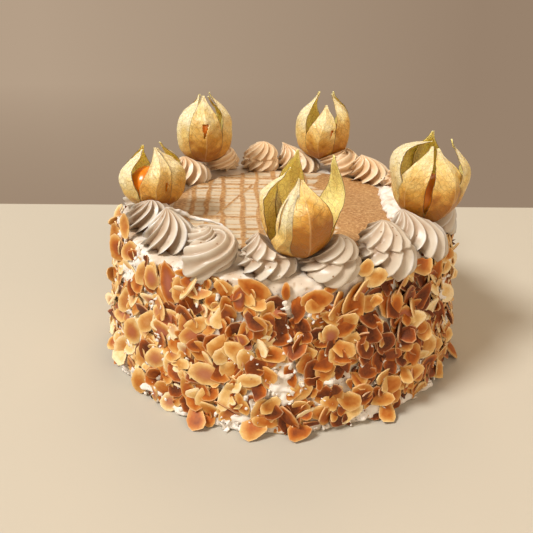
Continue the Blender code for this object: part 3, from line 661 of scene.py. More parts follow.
def creamWeight(angle, height):  # most where the cream shows, at the foot and at the left
    atFoot = smoothStep(7.0 * mm, 2.0 * mm, height)
    atLeft = np.maximum(0.0, np.cos(angle + 2.6)) ** 3
    return 0.06 + creamShows(angle, height) + 0.5 * atFoot + 0.4 * atLeft


smearedCream = makeButtercream("smearedCoffeeButtercream", ("#efe9e2", "#e0d5c7", "#b69470"), 2.0)
# almond crumbs in dark tones, partly their own toast and partly painted shade between the flakes
makeCrumbs(
    "almondCrumbs", toastedAlmond, crumbs["almond"], almondWeight,
    {"tone": (0.6, 1.0), "rim": (0.2, 0.5), "blush": (0.0, 0.01)})
makeCrumbs("creamShreds", smearedCream, crumbs["cream"], creamWeight, {"valley": (0.0, 0.35)})
print("crumbs done")


# caramel: sugar, butter and cream boiled and cooled, run over the cream in thin lines; satin,
# amber, a little see-through where it is thin

def makeCaramel():
    material, tree, shader, place = newMaterial("drizzledCaramel")
    cover = addNode(tree, "Attribute", {}, "Fac", attribute_name="cover")
    fine = addNode(
        tree, "TexNoise", {"Vector": place, "Scale": 1.0 / (1.6 * mm), "Detail": 4.0, "Roughness": 0.75})
    broad = addNode(tree, "TexNoise", {"Vector": place, "Scale": 1.0 / (14.0 * mm), "Detail": 2.0})
    speckled = addNode(tree, "ValToRGB", {0: fine}, stops=(
        (0.34, "#7a4f28"), (0.46, "#a27547"), (0.54, "#b0875a"), (0.66, "#cfae80")))
    warm = addNode(tree, "MapRange", {0: broad, 1: 0.35, 2: 0.65, 3: 0.0, 4: 0.35})
    amber = addNode(tree, "Mix", {0: warm, 6: speckled, 7: "#b7905d"}, **colourMix)
    # the cream between the lines
    between = addNode(tree, "Mix", {0: broad, 6: "#cbbfa8", 7: "#baa78b"}, **colourMix)
    final = addNode(tree, "Mix", {0: cover, 6: between, 7: amber}, **colourMix)
    matt = addNode(tree, "MapRange", {0: cover, 1: 0.0, 2: 1.0, 3: 0.55, 4: 0.42})
    bump = addNode(tree, "Bump", {"Height": fine, "Strength": 0.2, "Distance": 0.2 * mm})
    setInputs(tree, shader, {
        "Base Color": final, "Normal": bump, "Roughness": matt, "IOR": 1.46, "Specular IOR Level": 0.3})
    return material


# lines: their places from the middle, in mm, how they slant, half width in mm, strength and seed
drizzle = dict(
    cells=230, radius=57.0 * mm, low=69.3 * mm, creamTop=69.75 * mm, rise=0.51 * mm, seed=9,
    poolEdge=19.0 * mm, rimEdge=-49.0 * mm,
    lines=(
        dict(alongY=True, slant=0.05, half=1.15, strength=1.0, seed=1,
             places=(12.4, 3.8, -4.8, -13.8, -22.4, -32.4, -39.6, -48.0)),
        dict(alongY=False, slant=0.0, half=1.2, strength=1.0, seed=31,
             places=(43.0, 31.0, 24.6, -17.5, -31.8, -43.4)),
        dict(alongY=False, slant=0.02, half=0.55, strength=0.85, seed=61,
             places=[52.0 - 5.6 * step for step in range(20)])))


def lineCover(across, along, place, halfWidth, seed):
    # 1 on a wandering line, falling to 0 at its edge; its width swells and thins along it
    run = np.stack([along, np.full_like(along, seed * 17.0 * mm), np.zeros_like(along)], axis=-1)
    wander = 1.0 * mm * cloud(run, 22.0 * mm, seed) + 0.5 * mm * cloud(run, 8.0 * mm, seed + 25)
    swell = halfWidth * (1.0 + 0.35 * cloud(run, 9.0 * mm, seed + 50))
    away = np.abs(across - place - wander)
    return smoothStep(swell + 0.3 * mm, swell - 0.3 * mm, away)


def makeDrizzle():
    # a square grid drawn out to a disc; its height and its colour follow the caramel lines
    side = np.linspace(-1.0, 1.0, drizzle["cells"])
    u, v = np.meshgrid(side, side, indexing="xy")
    reach = drizzle["radius"]
    x = reach * u * np.sqrt(1.0 - 0.5 * v * v)
    y = reach * v * np.sqrt(1.0 - 0.5 * u * u)
    cover = np.zeros_like(x)
    for form in drizzle["lines"]:
        across, along = (x, y) if form["alongY"] else (y, x)
        for index, place in enumerate(form["places"]):
            line = lineCover(
                across + form["slant"] * along, along, place * mm, form["half"] * mm, form["seed"] + index)
            cover = np.maximum(cover, form["strength"] * line)
    # one line runs aslant over the left half
    aslant = lineCover(0.9 * x - 0.33 * y, x, -26.5 * mm, 0.9 * mm, 90)
    cover = np.maximum(cover, aslant * (np.abs(y - 9.0 * mm) < 22.0 * mm))
    edge = drizzle["poolEdge"] + 3.0 * mm * np.sin(y / (7.0 * mm)) + 1.5 * mm * np.sin(y / (2.7 * mm))
    cover = np.maximum(cover, smoothStep(-0.8 * mm, 0.8 * mm, x - edge))
    cover = np.maximum(cover, 0.9 * smoothStep(drizzle["rimEdge"], drizzle["rimEdge"] - 3.0 * mm, x))
    flat = np.stack([x, y, np.zeros_like(x)], axis=-1)
    uneven = 0.12 * mm * cloud(flat, 6.0 * mm, drizzle["seed"])
    uneven += 0.05 * mm * cloud(flat, 1.5 * mm, drizzle["seed"] + 1)
    z = drizzle["creamTop"] + drizzle["rise"] * np.sqrt(np.clip(cover, 0.0, 1.0)) + uneven
    points = np.stack([x + ring["shift"], y, z], axis=-1).reshape(-1, 3)
    # the wall at its edge, and a fan below
    n = drizzle["cells"]
    side = np.arange(n - 1)
    outline = np.concatenate([side, side * n + n - 1, n * n - 1 - side, (n - 1 - side) * n])
    foot = points[outline].copy()
    foot[:, 2] = drizzle["low"]
    middle = [[ring["shift"], 0.0, drizzle["low"]]]
    count = len(outline)
    near = np.arange(count)
    far = (near + 1) % count
    start = n * n
    wall = np.stack([start + near, start + far, outline[far], outline[near]], axis=-1)
    under = np.stack([start + far, start + near, np.full(count, start + count)], axis=-1)
    return addPiece(
        "caramelDrizzle", np.vstack([points, foot, middle]), [gridFaces(n, n, False), wall, under],
        makeCaramel(), "caramel_top",
        {"cover": np.concatenate([cover.ravel(), cover.ravel()[outline], [1.0]])})


makeDrizzle()
print("caramel done")


# physalis husks: dry calyx leaves, thin as paper, with a raised midrib and a net of veins;
# matt, light shines through, amber low down where the berry lies behind

husk = dict(
    foot=74.0 * mm, height=40.5 * mm, radius=14.8 * mm, keel=0.15, lobes=5, slit=0.06, taper=0.22,
    split=0.36, rows=64, columns=33, wall=0.25 * mm, lowest=0.06, whole=0.34,
    # the closed husk's outline: height and radius, as shares of the whole
    profile=(
        (0.0, 0.0), (0.03, 0.34), (0.08, 0.58), (0.20, 0.86), (0.36, 0.99), (0.56, 0.98),
        (0.66, 0.92), (0.73, 0.83), (0.80, 0.66), (0.86, 0.45), (0.93, 0.18), (1.0, 0.03)))
# each husk's place in the ring, counted in rosettes, and its radius in mm; turn and lean in degrees;
# width and height as shares of the whole; then leaf by leaf how far it opens and curls, in degrees,
# its length above the slit, how far its tip swings round, its breadth, how far it is turned, how far
# it lies over its neighbours in mm, and how amber it is; how far the husk is raised and the berry
# moved, in mm; and tears: middle, low and high end, half width
huskForms = (
    dict(
        gap=2.5, ring=67.5, turn=-72.0, lean=(0.0, 1.0), width=1.0, height=1.0,
        open=(8.0, 36.0, 7.0, 12.0, 7.0), curl=(-6.0, 4.0, 0.0, -3.0, 0.0),
        reach=(0.64, 0.75, 1.0, 0.74, 0.64), swing=(-8.0, 0.0, 6.0, 14.0, 4.0),
        breadth=(1.36, 1.15, 0.88, 1.25, 0.66), aside=(-6.0, 25.0, 30.0, 14.0, 33.0),
        over=(0.4, 0.1, 0.0, 0.0, 0.1), amber=(1.0, 0.1, 0.0, 0.2, 0.0), rise=0.0,
        berry=(0.0, 0.0, 0.0), tears={}),
    dict(
        gap=5.59, ring=68.4, turn=-141.0, lean=(1.0, 1.0), width=1.0, height=1.0,
        open=(10.0, 8.0, 20.0, 6.0, 34.0), curl=(0.0, 0.0, -4.0, 0.0, -76.0),
        reach=(0.72, 0.70, 0.78, 0.96, 1.05), swing=(30.0, -9.0, 0.0, 22.0, -8.0),
        breadth=(0.96, 1.1, 1.2, 1.0, 1.9), aside=(1.0, 8.0, -14.0, 0.0, 4.0),
        over=(0.1, 0.4, 0.0, 0.0, 0.1), amber=(0.6, 0.7, 0.4, 0.2, 0.0), rise=0.0,
        berry=(-0.9, -3.4, 3.0), tears={}),
    dict(
        gap=10.4, ring=68.2, turn=-105.0, lean=(0.0, -1.0), width=0.99, height=0.94,
        open=(8.0, 9.0, 11.0, 10.0, 7.0), curl=(0.0, 0.0, 0.0, 0.0, 0.0),
        reach=(0.74, 1.0, 1.0, 1.0, 1.03), swing=(24.0, 0.0, -18.0, 24.0, 8.0),
        breadth=(1.1, 1.15, 0.8, 0.8, 1.15), aside=(0.0, 0.0, 0.0, 0.0, 0.0),
        over=(0.3, 0.1, 0.0, 0.0, 0.0), amber=(0.45, 0.6, 0.2, 0.2, 0.1), rise=1.5,
        berry=(0.8, -5.0, 4.0), tears={0: (0.62, 0.42, 0.62, 0.11)}),
    dict(
        gap=13.5, ring=67.5, turn=-84.0, lean=(0.0, -1.0), width=0.97, height=1.0,
        open=(6.0, 9.0, 8.0, 5.0, 4.0), curl=(0.0, -2.0, 0.0, 0.0, 0.0),
        reach=(0.97, 1.02, 0.9, 0.97, 0.97), swing=(0.0, 0.0, -24.0, 0.0, 6.0),
        breadth=(1.2, 0.9, 0.6, 1.1, 1.4), aside=(4.0, 0.0, 0.0, 4.0, 2.0),
        over=(0.4, 0.1, 0.0, 0.0, 0.0), amber=(0.6, 0.3, 0.15, 0.15, 0.1), rise=3.5,
        berry=(0.9, -5.2, 9.0), tears={0: (-0.1, 0.46, 0.68, 0.22)}),
    dict(
        gap=16.53, ring=64.5, turn=-83.0, lean=(-2.0, 0.0), width=0.96, height=0.86,
        open=(16.0, 12.0, 18.0, 18.0, 14.0), curl=(0.0, 0.0, 0.0, 0.0, 0.0),
        reach=(0.64, 0.62, 0.66, 0.60, 0.60), swing=(24.0, 0.0, -22.0, 7.0, 0.0),
        breadth=(0.95, 1.15, 0.9, 1.05, 1.2), aside=(6.0, 0.0, 0.0, 0.0, 0.0),
        over=(0.3, 0.0, 0.0, 0.0, 0.1), amber=(0.5, 0.35, 0.1, 0.1, 0.0), rise=0.0,
        berry=(-1.9, -2.9, 0.6), tears={0: (0.6, 0.26, 0.52, 0.14)}))


def huskWidth(share):
    # the profile's points joined by cubic curves, whose slopes come from the points beside them
    at, width = np.array(husk["profile"]).T
    slope = np.gradient(width, at)
    left = np.clip(np.searchsorted(at, share, side="right") - 1, 0, len(at) - 2)
    step = at[left + 1] - at[left]
    t = (share - at[left]) / step
    return ((2.0 * t ** 3 - 3.0 * t ** 2 + 1.0) * width[left]
            + (t ** 3 - 2.0 * t ** 2 + t) * step * slope[left]
            + (3.0 * t ** 2 - 2.0 * t ** 3) * width[left + 1] + (t ** 3 - t ** 2) * step * slope[left + 1])


def huskPose(form):  # leaned, then moved to the husk's place in the ring
    angle = ring["first"] + 2.0 * math.pi / ring["count"] * form["gap"]
    leanX, leanY = form["lean"]
    lean = Matrix.Rotation(math.radians(leanX), 4, "Y") @ Matrix.Rotation(math.radians(-leanY), 4, "X")
    return Matrix.Translation((
        ring["shift"] + form["ring"] * mm * math.cos(angle), form["ring"] * mm * math.sin(angle),
        husk["foot"] + form["rise"] * mm)) @ lean


def movePoints(pose, points):  # turned by the pose, then moved by it
    matrix = np.array(pose)
    return points @ matrix[:3, :3].T + matrix[:3, 3]


def lobePath(form, lobe, share):
    # radius of the closed husk, and how far out and up the leaf gets: each step of the profile
    # is turned outwards by its opening and curl, so that it bends like a strip of paper
    radius = form["width"] * husk["radius"] * huskWidth(share)
    height = (form["height"] * husk["height"] - form["rise"] * mm) * share
    free = np.clip((share - husk["split"]) / (1.0 - husk["split"]), 0.0, 1.0)
    bend = np.radians(
        form["open"][lobe] * np.minimum(1.0, 4.0 * free) + form["curl"][lobe] * free ** 1.5)
    stepOut = np.diff(radius, prepend=radius[0])
    stepUp = np.diff(height, prepend=height[0]) * np.where(free > 0.0, form["reach"][lobe], 1.0)
    out = radius[0] + np.cumsum(stepOut * np.cos(bend) + stepUp * np.sin(bend))
    up = height[0] + np.cumsum(stepUp * np.cos(bend) - stepOut * np.sin(bend))
    return radius, out, up, free


def lobePoints(form, lobe, seed):
    # one leaf: an arc of 72 degrees across, flattened to either side of a creased midrib,
    # narrowed above the slit and drawn to a point, with crinkles and turned-out edges; near its foot
    # every leaf has the even breadth and turn of the closed husk
    share = np.linspace(0.0, 1.0, husk["rows"])
    radius, out, up, free = lobePath(form, lobe, share)
    offset = np.linspace(-1.0, 1.0, husk["columns"])[None, :]
    breadth = form["breadth"][lobe] - husk["slit"] - husk["taper"] * free
    own = smoothStep(husk["lowest"], husk["whole"], share)
    breadth = 1.03 + (breadth - 1.03) * own
    spread = offset * breadth[:, None] * math.pi / husk["lobes"]
    side = np.abs(offset)
    edge = 0.5 * mm * smoothStep(0.7, 1.0, side) * smoothStep(0.3, 0.55, share)[:, None]
    crease = 1.0 + husk["keel"] * (1.0 - side) - 0.025 * np.sin(math.pi * side) - 0.05
    over = form["over"][lobe] * mm * smoothStep(0.1, 0.3, share)[:, None]
    around = radius[:, None] * crease + edge + over
    outward = (out - radius)[:, None] + around * np.cos(spread)
    sideways = around * np.sin(spread)
    turn = form["turn"] + 360.0 * lobe / husk["lobes"] + form["swing"][lobe] * free ** 1.5
    turn = np.radians(turn + form["aside"][lobe] * own)[:, None]
    points = np.stack([
        outward * np.cos(turn) - sideways * np.sin(turn),
        outward * np.sin(turn) + sideways * np.cos(turn), up[:, None] + 0.0 * spread], axis=-1)
    crinkle = cloud(points, 5.0 * mm, seed) + 0.6 * cloud(points, 2.2 * mm, seed + 1)
    push = 0.55 * mm * crinkle * (0.35 + 0.65 * side) * smoothStep(0.05, 0.4, share)[:, None]
    points[..., 0] += push * np.cos(turn)
    points[..., 1] += push * np.sin(turn)
    points[..., 2] += 0.3 * push
    return points, share[:, None] + 0.0 * spread, offset + 0.0 * spread


def makeHuskPaper():
    # the leaf's own share along and across it lays the ribs and veins
    material, tree, shader, place = newMaterial("dryHuskPaper")
    along, across, seed, amber, inside = (
        addNode(tree, "Attribute", {}, "Fac", attribute_name=key)
        for key in ("along", "across", "seed", "amber", "inside"))
    # straw above, amber low down and on the leaves that stand in front of the berry
    blotch = addNode(tree, "TexNoise", {"Vector": place, "Scale": 1.0 / (6.0 * mm), "Detail": 4.0})
    shift = addNode(tree, "MapRange", {0: blotch, 1: 0.3, 2: 0.7, 3: -0.16, 4: 0.16})
    less = addNode(tree, "MapRange", {0: amber, 1: 0.0, 2: 1.0, 3: 0.08, 4: -0.46})
    lower = addNode(tree, "Math", {0: along, 1: less}, operation="ADD")
    level = addNode(tree, "Math", {0: lower, 1: shift}, operation="ADD", use_clamp=True)
    paper = addNode(tree, "ValToRGB", {0: level}, stops=(
        (0.0, "#a3650f"), (0.2, "#d09d45"), (0.45, "#e6c47c"), (0.75, "#f1e0b2"), (1.0, "#ecdcb2")))
    # inner faces paler and greener: painted light shining through the thin paper
    throughLit = addNode(tree, "Mix", {0: inside, 6: paper, 7: "#f1e294"}, **colourMix)
    dots = addNode(tree, "TexNoise", {"Vector": place, "Scale": 1.0 / (0.6 * mm), "Detail": 2.0})
    dotShare = addNode(tree, "MapRange", {0: dots, 1: 0.52, 2: 0.66, 3: 0.0, 4: 0.3})
    dotted = addNode(tree, "Mix", {0: dotShare, 6: throughLit, 7: "#97732f"}, **colourMix)
    # the midrib, nine pairs of side veins that climb from it, and a net 2.4 mm wide between them
    fold = addNode(tree, "Math", {0: across}, operation="ABSOLUTE")
    rib = addNode(tree, "MapRange", {0: fold, 1: 0.01, 2: 0.045, 3: 0.8, 4: 0.0})
    climb = addNode(tree, "Math", {0: fold, 1: 0.26}, operation="MULTIPLY")
    rise = addNode(tree, "Math", {0: along, 1: climb}, operation="SUBTRACT")
    wander = addNode(tree, "MapRange", {0: blotch, 3: -0.12, 4: 0.12})
    bent = addNode(tree, "Math", {0: rise, 1: wander}, operation="ADD")
    beat = addNode(tree, "Math", {0: bent, 1: 9.0}, operation="MULTIPLY")
    phase = addNode(tree, "Math", {0: beat, 1: seed}, operation="ADD")
    cycle = addNode(tree, "Math", {0: phase, 1: 0.5}, operation="PINGPONG")
    branch = addNode(tree, "MapRange", {0: cycle, 1: 0.0, 2: 0.055, 3: 1.0, 4: 0.0})
    net = addNode(
        tree, "TexVoronoi", {"Vector": place, "Scale": 1.0 / (2.4 * mm)}, feature="DISTANCE_TO_EDGE")
    netting = addNode(tree, "MapRange", {0: net, 1: 0.0, 2: 0.09, 3: 0.5, 4: 0.0})
    veins = addNode(tree, "Math", {0: branch, 1: netting}, operation="MAXIMUM")
    allVeins = addNode(tree, "Math", {0: veins, 1: rib}, operation="MAXIMUM")
    veinShare = addNode(tree, "Math", {0: veins, 1: 0.62}, operation="MULTIPLY")
    darker = addNode(tree, "Mix", {0: veinShare, 6: dotted, 7: "#86601f"}, **colourMix)
    ribShare = addNode(tree, "Math", {0: rib, 1: 0.2}, operation="MULTIPLY")
    veined = addNode(tree, "Mix", {0: ribShare, 6: darker, 7: "#f0e0b4"}, **colourMix)
    border = addNode(tree, "MapRange", {0: fold, 1: 0.955, 2: 0.985, 3: 0.0, 4: 0.85})
    final = addNode(tree, "Mix", {0: border, 6: veined, 7: "#4a300f"}, **colourMix)
    puckers = addNode(tree, "TexNoise", {"Vector": place, "Scale": 1.0 / (2.0 * mm), "Detail": 3.0})
    bumpPucker = addNode(tree, "Bump", {"Height": puckers, "Strength": 0.5, "Distance": 0.5 * mm})
    bump = addNode(
        tree, "Bump", {"Height": allVeins, "Normal": bumpPucker, "Strength": 0.5, "Distance": 0.3 * mm})
    setInputs(tree, shader, {
        "Base Color": final, "Normal": bump, "Roughness": 0.42, "Specular IOR Level": 0.5,
        "Subsurface Weight": 0.7, "Subsurface Radius": (1.0, 0.92, 0.6), "Subsurface Scale": 1.0 * mm})
    return material


def leafShell(points, wall, kept):
    # a second grid one wall behind the first along its normals, and a strip along every edge
    # that only one kept face has
    rows, columns = points.shape[:2]
    normal = np.cross(np.gradient(points, axis=1), np.gradient(points, axis=0))
    normal /= np.linalg.norm(normal, axis=-1, keepdims=True) + 1e-12
    grid = gridFaces(rows, columns, False)[kept.ravel()]
    count = rows * columns
    edges = np.stack([grid, np.roll(grid, -1, axis=1)], axis=-1).reshape(-1, 2)
    border = edges[~np.isin(edges[:, 0] * count + edges[:, 1], edges[:, 1] * count + edges[:, 0])]
    strip = np.stack([border[:, 1], border[:, 0], border[:, 0] + count, border[:, 1] + count], axis=-1)
    shell = np.concatenate([points.reshape(-1, 3), (points - wall * normal).reshape(-1, 3)])
    return shell, [grid, grid[:, ::-1] + count, strip]


def untorn(share, offset, tear):
    # quads outside a tear, which is a wedge: a point at its lower end, open at its upper end
    share, offset = share[:-1, :-1], offset[:-1, :-1] + 1.0 / husk["columns"]
    middle, low, high, half = tear
    climb = (share - low) / (high - low)
    return ~((climb > 0.0) & (climb < 1.0) & (np.abs(offset - middle - 0.1 * climb) < half * climb))


def makeHusk(index, material):
    # its leaves, each with its torn part left out and its own marks for the paper
    form = huskForms[index]
    pose = huskPose(form)
    points, faces = [], []
    marks = dict(along=[], across=[], seed=[], amber=[], inside=[])
    for lobe in range(husk["lobes"]):
        leaf, share, offset = lobePoints(form, lobe, 100 + 10 * index)
        kept = untorn(share, offset, form["tears"].get(lobe, (0.0, 1.0, 2.0, 0.0)))
        shell, shellFaces = leafShell(leaf, husk["wall"], kept)
        start = sum(len(part) for part in points)
        faces += [group + start for group in shellFaces]
        points.append(movePoints(pose, shell))
        marks["along"].append(np.tile(share.ravel(), 2))
        marks["across"].append(np.tile(offset.ravel(), 2))
        marks["seed"].append(np.full(len(shell), 0.37 * lobe + 0.61 * index))
        marks["amber"].append(np.full(len(shell), form["amber"][lobe]))
        marks["inside"].append(np.repeat([0.0, 1.0], share.size))
    return addPiece(
        "huskPaper_%d" % (index + 1), np.vstack(points), faces, material,
        "physalis_husk_%d" % (index + 1), {key: np.concatenate(parts) for key, parts in marks.items()})


huskPaper = makeHuskPaper()
for index in range(len(huskForms)):
    makeHusk(index, huskPaper)
print("husks done")


# physalis berry: smooth waxy skin over juicy flesh; glossy, orange, light goes in

def makeBerrySkin():
    material, tree, shader, place = newMaterial("waxyBerrySkin")
    patch = addNode(tree, "TexNoise", {"Vector": place, "Scale": 1.0 / (6.0 * mm), "Detail": 2.0})
    tone = addNode(tree, "ValToRGB", {0: patch}, stops=((0.3, "#e8781a"), (0.7, "#f49a2c")))
    pores = addNode(tree, "TexNoise", {"Vector": place, "Scale": 1.0 / (0.7 * mm), "Detail": 2.0})
    bump = addNode(tree, "Bump", {"Height": pores, "Strength": 0.08, "Distance": 0.1 * mm})
    setInputs(tree, shader, {
        "Base Color": tone, "Normal": bump, "Roughness": 0.22, "IOR": 1.42, "Subsurface Weight": 0.25,
        "Subsurface Radius": (1.0, 0.35, 0.08), "Subsurface Scale": 2.0 * mm})
    return material


berry = dict(radius=9.1 * mm, height=11.4 * mm, rows=40, columns=56)


def makeBerry(index, material):
    # a ball, a touch flatter at the poles, with three low lobes
    polar = np.linspace(0.0, math.pi, berry["rows"] + 2)[1:-1, None]
    turn = np.linspace(0.0, 2.0 * math.pi, berry["columns"], endpoint=False)[None, :]
    lobes = 0.012 * np.sin(3.0 * turn + index) * np.sin(polar)
    radius = berry["radius"] * (1.0 - lobes - 0.015 * np.cos(polar) ** 4)
    points = np.stack([
        radius * np.sin(polar) * np.cos(turn), radius * np.sin(polar) * np.sin(turn),
        -radius * np.cos(polar) + 0.0 * turn], axis=-1).reshape(-1, 3)
    poles = berry["radius"] * 0.985 * np.array([[0.0, 0.0, -1.0], [0.0, 0.0, 1.0]])
    form = huskForms[index]
    middle = Vector(form["berry"]) * mm + Vector((0.0, 0.0, berry["height"]))
    points = movePoints(huskPose(form) @ Matrix.Translation(middle), np.vstack([points, poles]))
    return addPiece(
        "berrySkin_%d" % (index + 1), points, tubeFaces(berry["rows"], berry["columns"]), material,
        "physalis_berry_%d" % (index + 1), {})


berrySkin = makeBerrySkin()
for index in range(len(huskForms)):
    makeBerry(index, berrySkin)
print("berries done")


# piped rosettes: cream pressed through a star nozzle that is turned and lifted; each ridge rises
# gently to a sharp crest and drops steeply to the next, and the end is pulled off in a peak

rosette = dict(
    radius=12.6 * mm, height=16.0 * mm, columnsPerRidge=16, rows=76, depth=0.3, seed=3)
# drops pulled straight up: twist and ridges; crease 0 for thin crests with hollows between, 1 for
# round bands with thin creases; notch between two tiers; outward shift in mm, width, tear, which
# way the peak leans, how far in mm and how pointed it is
rosetteForms = {
    0: (88, 11, 0.0, 0.0, 0.5, 1.04, 0.1, 110, 5.0, 0.7),
    2: (118, 10, 0.15, 0.1, 0.8, 1.04, 0.3, 172, 3.6, 0.4),
    3: (150, 9, 0.45, 0.14, 2.2, 1.12, 0.2, 12, 3.0, 0.1),
    4: (105, 10, 0.2, 0.1, 2.8, 1.10, 1.6, 100, 5.0, 0.2),
    5: (70, 12, 0.15, 0.0, 2.2, 1.14, 0.3, 158, 8.5, 0.5),
    6: (120, 10, 0.1, 0.0, 1.5, 1.0, 0.2, 72, 3.6, 0.2),
    8: (100, 11, 0.1, 0.06, -1.0, 1.0, 0.5, 20, 3.6, 0.2),
    9: (110, 10, 0.05, 0.0, -3.0, 1.06, 0.7, 185, 6.0, 0.6),
    11: (95, 11, 0.0, 0.0, -3.2, 1.12, 0.6, 176, 10.0, 1.0),
    12: (120, 10, 0.2, 0.06, -3.2, 1.0, 0.9, 60, 3.6, 0.0),
    14: (85, 11, 0.0, 0.0, -1.5, 1.0, 0.5, 232, 3.6, 0.3),
    15: (125, 10, 0.2, 0.08, 0.0, 1.0, 0.2, 70, 3.6, 0.2),
    17: (90, 11, 0.0, 0.0, -0.5, 1.0, 0.1, -68, 3.6, 0.3)}
# wound ones: the angle where the rope of cream starts, its turns, outward shift in mm, width,
# how far its ridges roll round it, tear
ropeForms = {
    1: (200.0, 1.45, 3.0, 1.14, 0.8, 0.1), 7: (60.0, 1.4, 0.8, 1.05, 0.7, 0.3),
    10: (250.0, 1.45, -3.6, 1.2, 0.8, 0.6), 13: (20.0, 1.5, -2.5, 1.05, 0.7, 0.5),
    16: (120.0, 1.4, 0.0, 1.0, 0.8, 0.2)}
rope = dict(
    ridges=9, rows=150, columnsPerRidge=14, path=6.3 * mm, section=7.0 * mm, tip=3.1 * mm,
    climb=8.8 * mm, depth=0.3)
bounceLit = range(8, 15)  # the back rosettes, painted brighter and warmer as if lit by light bounced off the caramel beside them


def huskDent(points, form):
    # cream under a husk is pressed back to the lantern's outside, square to the line between the
    # level and the upright way out
    pose = huskPose(form)
    local = movePoints(pose.inverted(), points)
    away = np.hypot(local[:, 0], local[:, 1]) + 1e-9
    shares = np.linspace(0.0, 0.42, 60)
    widths = form["width"] * husk["radius"] * huskWidth(shares) * (1.0 + husk["keel"]) + husk["wall"]
    heights = shares * form["height"] * husk["height"] - husk["wall"]
    widest = np.argmax(widths) + 1
    limit = np.interp(local[:, 2], heights, widths, left=0.0)
    floor = np.interp(away, widths[:widest], heights[:widest], left=heights[0])
    sideways = np.maximum(limit - away, 0.0)
    down = np.maximum(local[:, 2] - floor, 0.0)
    share = sideways * down / (sideways ** 2 + down ** 2 + 1e-12)
    inside = (sideways > 0.0) & (down > 0.0) & (local[:, 2] < heights[-1])
    local[:, :2] += local[:, :2] / away[:, None] * (share * down * inside)[:, None]
    local[:, 2] -= share * sideways * inside
    return movePoints(pose, local)


def ridgeHollow(phase, crease):
    # 0 on a crest, 1 in the valley; the valley lies just after the crest
    thin = np.sin(np.pi * phase ** 0.6) ** 0.75
    full = 1.0 - np.sin(np.pi * phase ** 1.5) ** 0.55
    return (1.0 - crease) * thin + crease * full


def pulledDrop(index, draw):
    # radius = dome x ridge profile x notch, on a grid that turns with height
    twist, ridges, crease, notch, outward, wide, torn, leaning, tuft, point = rosetteForms[index]
    columns = ridges * rosette["columnsPerRidge"]
    share = (np.linspace(0.0, 1.0, rosette["rows"]) ** 0.9)[:, None]
    around = np.linspace(0.0, 1.0, columns, endpoint=False)[None, :]
    upper = smoothStep(0.42, 0.5, share) if notch > 0.0 else 0.0
    dome = (1.0 - share ** (2.8 - 1.1 * point)).clip(0.0) ** (0.62 + 0.5 * point)
    dome = dome * (0.9 + 0.1 * smoothStep(0.0, 0.12, share))
    hollow = ridgeHollow((around * ridges + 0.45 * upper) % 1.0, crease)
    depth = rosette["depth"] * (1.0 + 0.3 * smoothStep(0.2, 0.0, share))
    depth = depth * (1.0 - 0.35 * smoothStep(0.7, 1.0, share))
    eachRidge = 1.0 + 0.14 * np.sin(4.0 * np.pi * around + 1.7 * index)
    eachRidge = eachRidge + 0.08 * np.sin(10.0 * np.pi * around)
    tier = notch * np.exp(-((share - 0.44) / 0.07) ** 2)
    radius = wide * rosette["radius"] * dome * (1.0 - depth * eachRidge * hollow) * (1.0 - tier)
    turn = draw.uniform(0.0, 2.0 * math.pi) + math.radians(twist) * share ** 0.9 + 2.0 * math.pi * around
    centre = ringPlace(index, ring["radius"] + outward * mm)
    leaning = math.radians(leaning)
    tall = rosette["height"] * draw.uniform(0.9, 1.0)
    tuft = tuft * mm * share ** 2.2
    points = np.stack([
        centre[0] + tuft * math.cos(leaning) + radius * np.cos(turn),
        centre[1] + tuft * math.sin(leaning) + radius * np.sin(turn), tall * share + 0.0 * turn], axis=-1)
    crest = (1.0 - hollow) ** 2
    noise = 0.2 * cloud(points, 5.0 * mm, 200 + index) + 0.1 * crest * cloud(points, 1.1 * mm, 300 + index)
    noise = noise + torn * (
        0.5 * cloud(points, 3.2 * mm, 400 + index) + 0.35 * crest * cloud(points, 1.3 * mm, 500 + index))
    noise = noise * mm * smoothStep(1.0, 0.9, share)
    points[..., 0] += noise * np.cos(turn)
    points[..., 1] += noise * np.sin(turn)
    # darker in the hollows, at the foot and in the notch between tiers: painted shade
    valley = 0.75 * hollow + 0.3 * smoothStep(0.2, 0.0, share) + 1.5 * tier
    return points, valley


